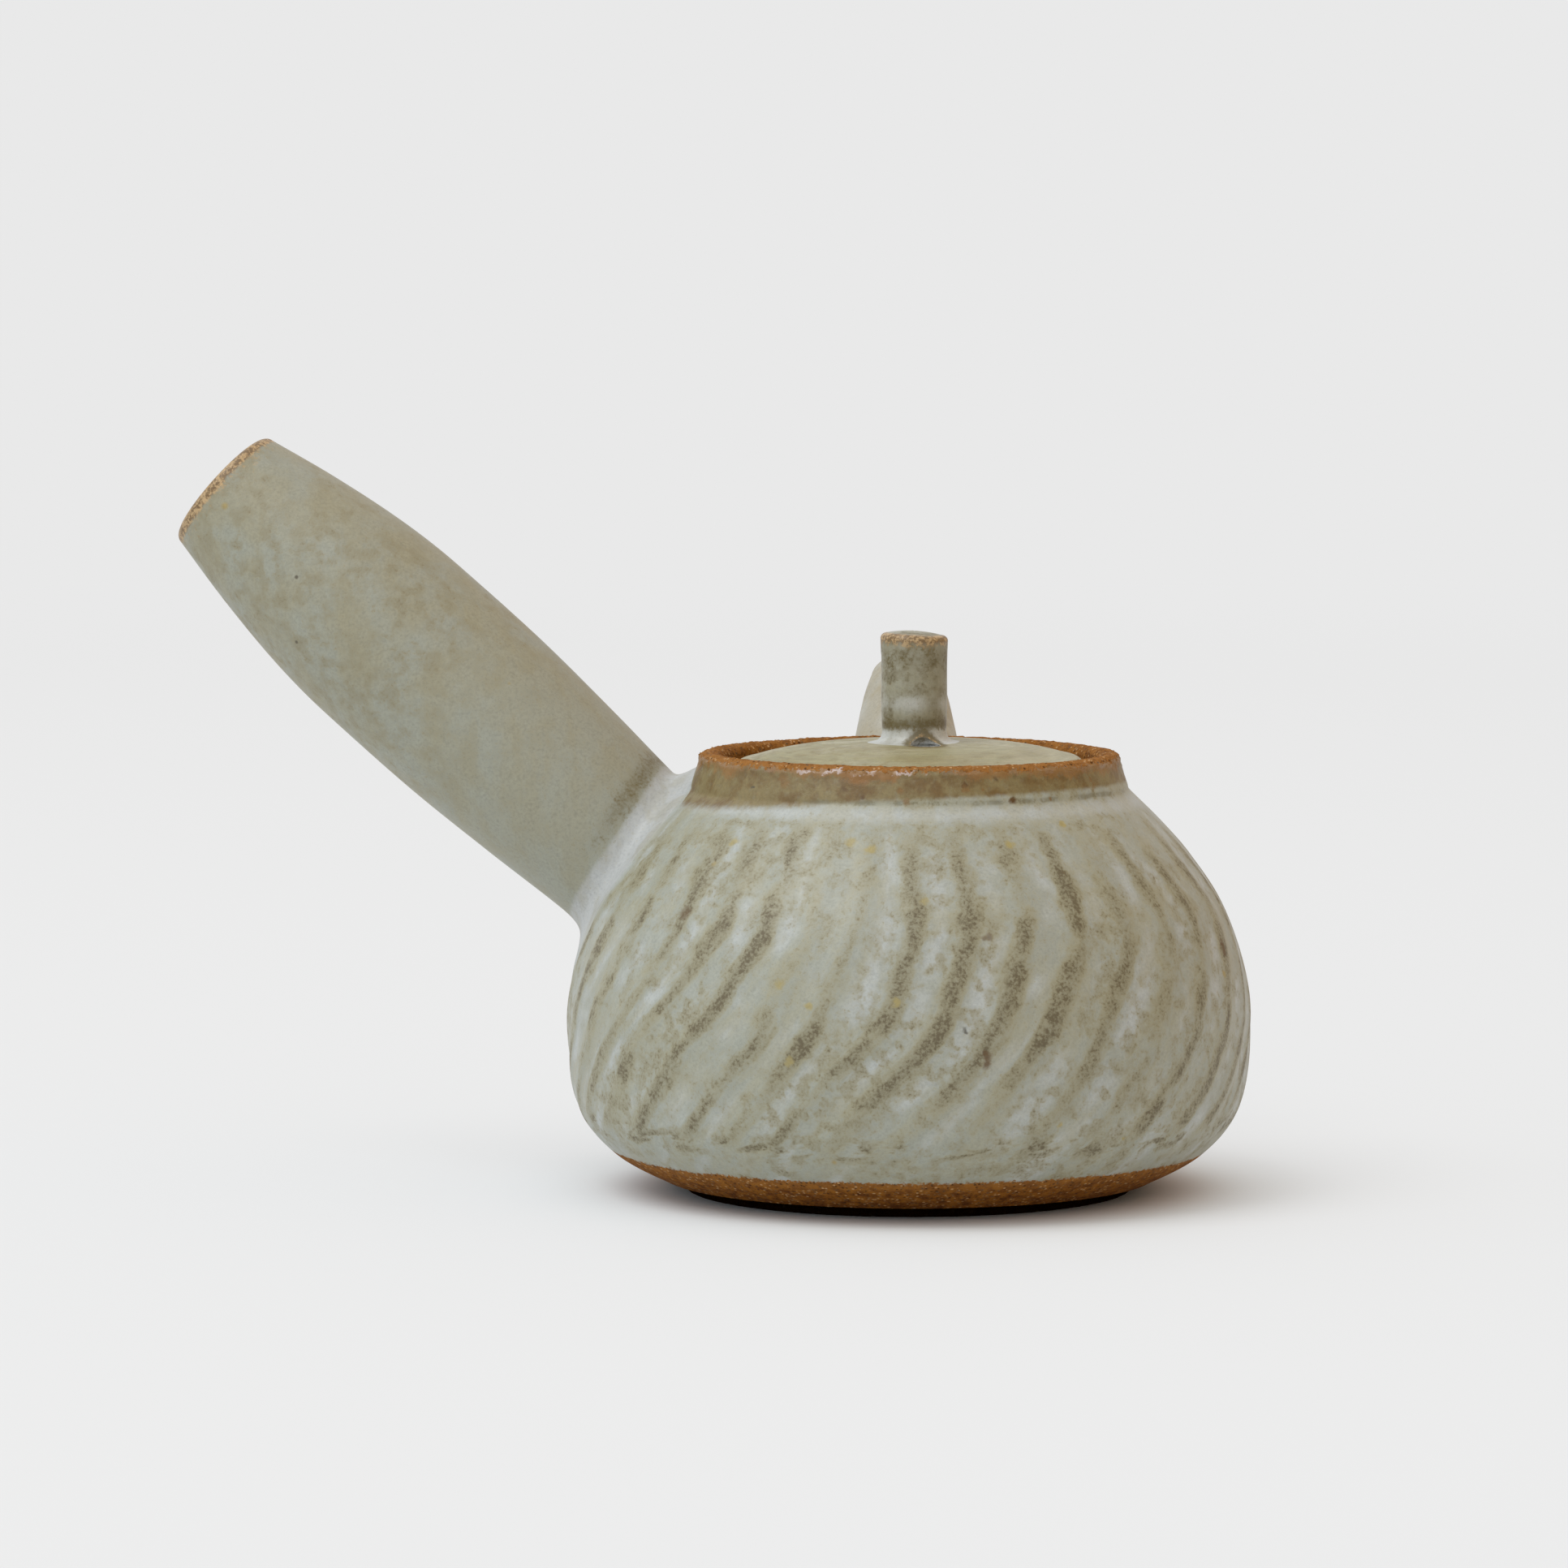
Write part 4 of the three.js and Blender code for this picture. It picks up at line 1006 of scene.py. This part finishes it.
# Spots that show at the front: azimuth in degrees, height, radius, how far they cover
# what is under them, and their colour.
SPOT_COLOURS = {
    "amber": "#a1935c",
    "honey": "#79592a",
    "rust": "#5c4322",
    "umber": "#55390f",
    "ink": "#454034",
}
BODY_SPOTS = """
-78.4 27.6 0.8 0.85 rust
-78.1 26.4 0.8 0.85 rust
-93.0 35.9 0.8 0.8 amber
-107.5 35.0 0.8 0.8 amber
-135.8 47.8 1.3 0.5 rust
-81.8 31.5 0.5 0.8 ink
-19.5 41.2 0.9 0.8 rust
-19.8 40.0 0.8 0.8 rust
-113.0 38.3 0.9 0.6 amber
-110.5 26.4 0.8 0.7 amber
-99.2 58.2 0.9 0.9 amber
-103.9 59.3 1.0 0.8 amber
-132.9 58.5 1.0 0.8 amber
-88.0 50.9 0.8 0.6 amber
-52.3 61.4 0.7 0.9 amber
-68.5 58.8 0.8 0.9 amber
-77.0 45.5 0.8 0.6 rust
-65.2 16.2 0.6 0.8 amber
-51.7 13.3 0.5 0.8 amber
-125.7 67.7 1.0 0.7 honey
-127.0 68.6 0.8 0.7 honey
-107.9 66.8 0.7 0.6 rust
-103.0 66.0 0.55 0.8 rust
-93.3 67.1 0.8 0.8 honey
-92.0 65.2 0.7 0.7 honey
-136.5 66.6 0.35 0.8 ink
-76.4 67.7 0.5 0.8 umber
-76.4 67.0 0.7 0.8 honey
-71.4 67.1 0.4 0.7 honey
-67.1 68.6 0.5 0.8 umber
-63.6 65.2 0.75 1.0 umber
-51.6 64.9 0.4 0.8 honey
-34.4 67.4 0.7 0.7 honey
-33.8 66.4 0.6 0.6 honey
"""


def body_spots():
    """The spots on the pot: middle in metres, radius, cover and colour."""
    for row in BODY_SPOTS.strip().splitlines():
        *numbers, colour = row.split()
        azimuth, z, size, cover = map(float, numbers)
        a = math.radians(azimuth)
        r = float(outside_radius(np.array(a), np.array(z)))
        middle = (r * math.cos(a) * MM, r * math.sin(a) * MM, z * MM)
        yield middle, size, cover, SPOT_COLOURS[colour]


# The tones of each glaze: plain, pooled, warm, thin and thinnest.
GLAZES = {
    # the pot: grey-green, breaking to brown streaks on the ridges
    "streaked": "#9c9f92 #afb4b0 #a19b7d #7c7558 #564b32",
    # handle and strainer: even and satin, with a few iron specks
    "pale": "#97947e #989a8c #948d70 #7f785f #6a6048",
    # spout: the same, a little warmer, and painted lighter: painted light that lifts the spout's
    # shade
    "pale_painted_lighter": "#a49e8b #adaa9c #a29576 #877f66 #6a6048",
    # lid: olive, with the wheel's rings in it
    "olive": "#928c64 #a6a183 #8c7e59 #807751 #645a3e",
    # knob: brown and white in patches
    "mottled": "#95927b #bcbeb7 #837a5b #665e42 #463d27",
}
GLAZE_VALUES = "ridge ridge_mm smudge pool brown worn bare_mm toast soot collar_mm"


def glaze_material(kind, cloud, roughness, breaking=0.0, lines=0.0, specks=0.035, is_pot=False):
    """Matt-to-satin ash glaze over a speckled brown stoneware: opaque and pale where it
    lies thick, olive brown where it thins over a ridge, golden where it is worn at an edge,
    and gone at the foot and the rim, where the gritty clay shows. On the pot it is also
    wiped thin round the collar, and larger iron spots bleed through it.

    Cloud is how much of the glaze lies thin in patches, breaking how much it thins on the
    ridges, lines how clearly hair lines show in it, and specks how large the iron is."""
    base, pooled, warm, olive, dark = GLAZES[kind].split()
    material = bpy.data.materials.new(kind + "_ash_glaze")
    node = emptied(material)

    def stirred(value, *patterns):
        """A value made uneven by patterns, each of them up and down by half a size."""
        for pattern, size in patterns:
            value = node(TIMES_PLUS, node(MINUS, pattern, 0.5), size, value)
        return value

    def tinted(colour, share, amount, tone):
        """A colour with an amount of a tone laid over a share of it."""
        return node(BLEND, node(TIMES, share, amount), colour, tone)

    given = {key: node("Attribute " + key, out="Fac") for key in GLAZE_VALUES.split()}
    at = node("TexCoord", out="Object")
    flow = node("Attribute flow", out="Vector")
    # the glaze ran while it was wet, so its patterns are drawn out along the flutes
    level, drawn, hairs = (node("Mapping", flow, Scale=(1, 1, z)) for z in (2.2, 0.38, 0.09))
    clouds = node(NOISE, drawn, per_mm(15), 2, 0.5)
    patches = node(NOISE, drawn, per_mm(4.6), 3, 0.6)
    runs = node(NOISE, flow, per_mm(8), 2, 0.5)
    clusters = node(NOISE, at, per_mm(2.6), 3, 0.55)
    mottle = node(NOISE, at, per_mm(1.4), 3, 0.65)
    fine = node(NOISE, at, per_mm(0.48), 2, 0.6)
    hair = node(NOISE, hairs, per_mm(0.7), 2, 0.5)

    # thin glaze: stippled where it breaks on a ridge, dense in the middle and grainy
    # towards the sides, and coming and going along the ridge
    present = node(RAMP, given["ridge"], -0.1, 0.6)
    present = node(TIMES, present, node(RAMP, runs, 0.34, 0.52, 0.45, 1))
    present = node(TIMES, present, breaking)
    from_ridge = stirred(given["ridge_mm"], (patches, 5.5))
    dense = node(TIMES, node(RAMP, from_ridge, 0.2, 3.3, 1, 0), present)
    smears = node(RAMP, node(NOISE, level, per_mm(5.5), 3, 0.55), 0.47, 0.62)
    smears = node(TIMES, smears, given["smudge"])
    dense = node(MOST, dense, node(TIMES, smears, breaking))
    loose = node(TIMES, node(RAMP, clouds, 0.34, 0.6, 0.3, 1), node(RAMP, clusters, 0.38, 0.6))
    dense = node(MOST, dense, node(TIMES, loose, cloud))
    dense = node(TIMES, dense, node(RAMP, given["pool"], 0.1, 0.8, 1, 0.15))
    grains = stirred(dense, (clusters, 0.9), (mottle, 1.15), (fine, 2.0))
    thin = node(RAMP, grains, 0.08, 1.25)
    fringe = node(RAMP, stirred(dense, (mottle, 0.8)), 0.08, 0.6)

    # thick glaze: paler in the hollows between ridges, and white where it gathered
    pool = stirred(given["pool"], (patches, 0.35))
    valley = node(RAMP, stirred(given["ridge_mm"], (patches, 6.5)), 1.2, 5.0)
    pale = node(TIMES, valley, node(RAMP, runs, 0.4, 0.64, 0.1, 1))
    colour = node(BLEND, node(MOST, node(RAMP, pool, 0.0, 1.0), pale), base, pooled)
    colour = node(BLEND, node(RAMP, pool, 1.0, 2.0), colour, "#b3b6b4")
    # near white at a pool of 3, which only the vent's wall has: pooled glaze painted lighter, as
    # painted light against the hole's shade
    colour = node(BLEND, node(RAMP, pool, 2.0, 3.0), colour, "#dfe3e2")
    colour = tinted(colour, node(RAMP, node(MINUS, 1.0, patches), 0.42, 0.62), 0.35, warm)
    colour = tinted(colour, fringe, 0.5, warm)
    colour = tinted(colour, thin, 0.9, node(BLEND, node(RAMP, grains, 0.7, 1.4), olive, dark))
    rusty = node(RAMP, stirred(given["brown"], (mottle, 0.9), (fine, 1.2)), 0.2, 1.1)
    colour = tinted(colour, rusty, 0.85, "#5f5228")
    worn = node(RAMP, stirred(given["worn"], (mottle, 1.4), (fine, 0.8)), 0.3, 1.0)
    gold = node(RAMP, stirred(mottle, (fine, 1.2)), 0.38, 0.66)
    colour = tinted(colour, worn, 0.85, node(BLEND, gold, "#78592f", "#b99b6f"))
    # iron spots that bleed through the glaze, amber with a soft edge, and tiny dark ones
    for size, share, softness, tone, seed in (
        (10, 0.055, 0.035, "#a08b4e", 0.0),
        (6, specks, 0.02, "#4a4130", 5.0),
    ):
        cells = node("Mapping", at, (seed, seed, seed))
        off_middle, tint = node("TexVoronoi", cells, per_mm(size), out="Distance Color")
        pick = node("SeparateColor", tint)
        limit = node(TIMES, node(RAMP, pick, 0.4, 1.0), share)
        spot = node(RAMP, node(MINUS, off_middle, limit), -softness, softness, 1, 0)
        colour = tinted(colour, spot, node(RAMP, pick, 0.4, 0.5, 0, 0.75), tone)

    if is_pot:
        # the collar, where the glaze was wiped thin and took colour from the clay, and the
        # broken line that a tool scored under it
        band = node(RAMP, stirred(given["collar_mm"], (mottle, 0.6)), -0.35, 0.5)
        wiped = node(RAMP, node(NOISE, at, per_mm(3.2), 3, 0.6), 0.38, 0.66)
        wiped = node(BLEND, wiped, "#81734c", "#6c552c")
        wiped = tinted(wiped, node(RAMP, grains, 0.3, 0.9), 0.35, "#5d4c2a")
        colour = tinted(colour, band, node(RAMP, mottle, 0.2, 0.5, 0.8, 1.0), wiped)
        across, up = node("SeparateXYZ", at, out="X Z")
        off_line = stirred(node(MINUS, up, GLAZE_SCORED * MM), (runs, 1.5 * MM))
        scored = node(RAMP, node("Math ABSOLUTE", off_line), 0.15 * MM, 0.6 * MM, 1, 0)
        scored = node(TIMES, scored, node(RAMP, across, -20 * MM, -13 * MM))
        scored = node(TIMES, scored, node(RAMP, stirred(patches, (fine, 0.5)), 0.38, 0.56))
        colour = tinted(colour, scored, 0.6, "#6f6a50")
        # the larger spots, where they lie on this pot
        ragged = node(NOISE, at, per_mm(1.2), out="Color")
        ragged = node("VectorMath SUBTRACT", ragged, (0.5, 0.5, 0.5))
        torn = node("VectorMath MULTIPLY_ADD", ragged, (1.6 * MM,) * 3, at)
        for middle, size, cover, tone in body_spots():
            off_middle = node("VectorMath DISTANCE", torn, middle)
            share = node(RAMP, off_middle, 0.4 * size * MM, 1.3 * size * MM, cover, 0)
            colour = node(BLEND, share, colour, tone)

    shade = stirred(1.0, (fine, 0.55), (mottle, 0.2), (hair, lines))
    colour = node("HueSaturation", Value=shade, Color=colour)

    # bare clay, toasted orange where the glaze stops
    ragged_edge = node(TIMES_PLUS, band, 1.5, 0.7) if is_pot else 0.7
    past_edge = stirred(given["bare_mm"], (mottle, ragged_edge), (fine, 1.2))
    bare = node(RAMP, past_edge, -0.15, 0.2)
    toasted = node(TIMES_PLUS, given["toast"], 0.5, 0.5)
    toasted = node(TIMES, node(RAMP, past_edge, 0.2, 2.6, 1, 0), toasted)
    off_grain, tint = node("TexVoronoi", at, per_mm(0.62), out="Distance Color")
    pale_share, dark_share = node("SeparateColor", tint, out="Green Blue")
    grain = node(RAMP, off_grain, 0.2, 0.5, 1, 0)
    clay = node(RAMP, node(NOISE, at, per_mm(1.8), 4, 0.7), 0.35, 0.65)
    clay = node(BLEND, clay, "#66390e", "#96601d")
    clay = tinted(clay, toasted, 0.8, "#a06f3a")
    clay = tinted(clay, node(TIMES, node(RAMP, pale_share, 0.5, 0.8), grain), 0.8, "#c9a273")
    clay = tinted(clay, node(TIMES, node(RAMP, dark_share, 0.5, 0.75), grain), 0.8, "#37200c")
    # painted shadow: the foot's lower wall near black, for the dark gap where the pot meets the
    # floor
    clay = tinted(clay, given["soot"], 0.97, "#050201")
    if is_pot:
        halo = node(TIMES, node(RAMP, stirred(past_edge, (runs, 6.0)), -1.6, -0.1), band)
        halo = node(TIMES, halo, node(RAMP, past_edge, -4.0, -1.5))
        colour = tinted(colour, halo, 0.7, "#8f6431")
        # pale crumbs of glaze that crawled back from the edge, at the front
        crumbs = node(TIMES, node(RAMP, past_edge, -0.7, -0.4), node(RAMP, clusters, 0.46, 0.56))
        left = node(RAMP, across, -21 * MM, -16 * MM, 0.1, 1)
        right = node(RAMP, across, -2 * MM, 5 * MM, 1, 0.1)
        crumbs = node(TIMES, node(TIMES, crumbs, band), node(TIMES, left, right))
        colour = tinted(colour, crumbs, 0.8, "#c3b4ae")
    colour = node(BLEND, bare, colour, clay)

    # surface: a soft satin skin on the glaze, rough grit on the clay
    gritty = node(NOISE, at, per_mm(0.5), 3, 0.7)
    gritty = node(TIMES_PLUS, gritty, 0.55, node(TIMES, off_grain, -0.3))
    glazed = node(TIMES_PLUS, fine, 0.05, node(TIMES, mottle, 0.1))
    glazed = node(TIMES_PLUS, thin, -0.1, glazed)
    height = node(TIMES_PLUS, bare, gritty, glazed)
    bump = node("Bump", Strength=1.0, Distance=0.5 * MM, Height=height)
    rough = node("Mix FLOAT", bare, node(TIMES_PLUS, thin, 0.12, roughness), 0.85)
    mirror = node(TIMES_PLUS, bare, -0.38, 0.5)
    # and no sheen on the foot's painted shadow, so that it stays near black
    mirror = node(TIMES, mirror, node(MINUS, 1.0, given["soot"]))
    skin = {"Roughness": rough, "IOR": 1.5, "Specular IOR Level": mirror, "Normal": bump}
    node("OutputMaterial", node("BsdfPrincipled", colour, **skin))
    return material


def place(piece, body, material, node):
    """Puts the finish on a piece, sets it on its body and lets it stand for its node."""
    piece.data.materials.clear()
    piece.data.materials.append(material)
    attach(piece, body)
    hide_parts(node)


def make_teapot():
    """Every piece, in its finish."""
    streaked = glaze_material("streaked", 0.5, 0.42, breaking=1.0, lines=0.1, is_pot=True)
    pale = glaze_material("pale", 0.4, 0.46, specks=0.055)
    # the spout's glaze is the pale one painted lighter, as painted light on its shaded side
    pale_painted_lighter = glaze_material("pale_painted_lighter", 0.3, 0.46)
    olive = glaze_material("olive", 0.4, 0.5, lines=0.55, specks=0.05)
    mottled = glaze_material("mottled", 0.58, 0.4)
    place(make_pot_body(), "pot", streaked, "pot_body")
    handle, handle_joint = make_handle()
    place(handle, "pot", pale, "handle")
    place(handle_joint, "pot", pale, "handle_joint_coil")
    spout, spout_joint = make_spout()
    place(spout, "pot", pale_painted_lighter, "spout")
    place(spout_joint, "pot", pale_painted_lighter, "spout_joint_coil")
    place(make_strainer(), "pot", pale, "strainer")
    place(make_lid(), "lid", olive, "lid")
    knob, knob_joint = make_knob()
    place(knob, "lid", mottled, "knob")
    place(knob_joint, "lid", mottled, "knob_joint_coil")


def make_camera():
    """A long lens far off, looking down a little."""
    pitch, distance = math.radians(4.62), 1.2
    aim = Vector((-20.1, 0, 65.2)) * MM
    data = bpy.data.cameras.new("camera")
    data.lens, data.sensor_width, data.sensor_fit = 171.5, 36, "AUTO"
    data.clip_start, data.clip_end = 0.05, 50
    camera = bpy.data.objects.new("camera", data)
    camera.location = aim + Vector((0, -math.cos(pitch), math.sin(pitch))) * distance
    camera.rotation_euler = (math.pi / 2 - pitch, 0, 0)
    bpy.context.scene.collection.objects.link(camera)
    bpy.context.scene.camera = camera


def make_stage():
    """A pale floor, a little lit from below like a light table, so that shadows fade soon
    beside the pot. Its far part takes the backdrop's tone, so that no horizon shows."""
    bpy.ops.mesh.primitive_circle_add(vertices=96, radius=9, fill_type="NGON")
    floor = bpy.context.object
    floor.name = "floor"
    material = bpy.data.materials.new("pale_paper")
    node = emptied(material)
    far = node("VectorMath LENGTH", node("TexCoord", out="Object"))
    lit_from_below = node(RAMP, far, 0.035, 0.075, 0, 0.6)
    fade = node(MOST, node(RAMP, far, 0.5, 1.8), lit_from_below)
    paper = node("BsdfPrincipled", "#e6eaec", Roughness=0.9)
    node("OutputMaterial", node("MixShader", fade, paper, node("Emission", BACKDROP, 1.0)))
    floor.data.materials.append(material)
    floor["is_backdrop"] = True


def make_light():
    """Broad soft light: a pale room that is a little darker and warmer to the right, and a
    large softbox to the upper left. The camera itself sees an even backdrop."""
    world = bpy.data.worlds.new("studio")
    node = emptied(world)
    right, up = node("SeparateXYZ", node("TexCoord", out="Generated"), out="X Z")
    tone = node(BLEND, node(RAMP, right, 0.0, 0.8), (0.94, 0.955, 0.985, 1), (0.66, 0.47, 0.3, 1))
    room = node("Background", tone, node("MapRange", up, 0.0, 1.0, 0.84, 1.04))
    backdrop = node("Background", BACKDROP, 1.0)
    # the first output of this node tells the camera's own rays from all others
    is_camera_ray = node("LightPath")
    node("OutputWorld", node("MixShader", is_camera_ray, room, backdrop))
    bpy.context.scene.world = world
    data = bpy.data.lights.new("softbox_left", "AREA")
    data.shape, data.size, data.energy = "SQUARE", 1.8, 36.0
    lamp = bpy.data.objects.new("softbox_left", data)
    lamp.location = (-1.5, -0.95, 2.75)
    aim = Vector((0, 0, 0.04)) - lamp.location
    lamp.rotation_euler = aim.to_track_quat("-Z", "Y").to_euler()
    bpy.context.scene.collection.objects.link(lamp)


make_camera()
make_teapot()
make_stage()
make_light()
bpy.context.scene.view_settings.view_transform = "Standard"

visual_low, visual_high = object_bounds()
boxes = {"cad": [cad_low, cad_high], "visual": [visual_low, visual_high]}
{k: [[float(x) for x in p] for p in v] for k, v in boxes.items()}
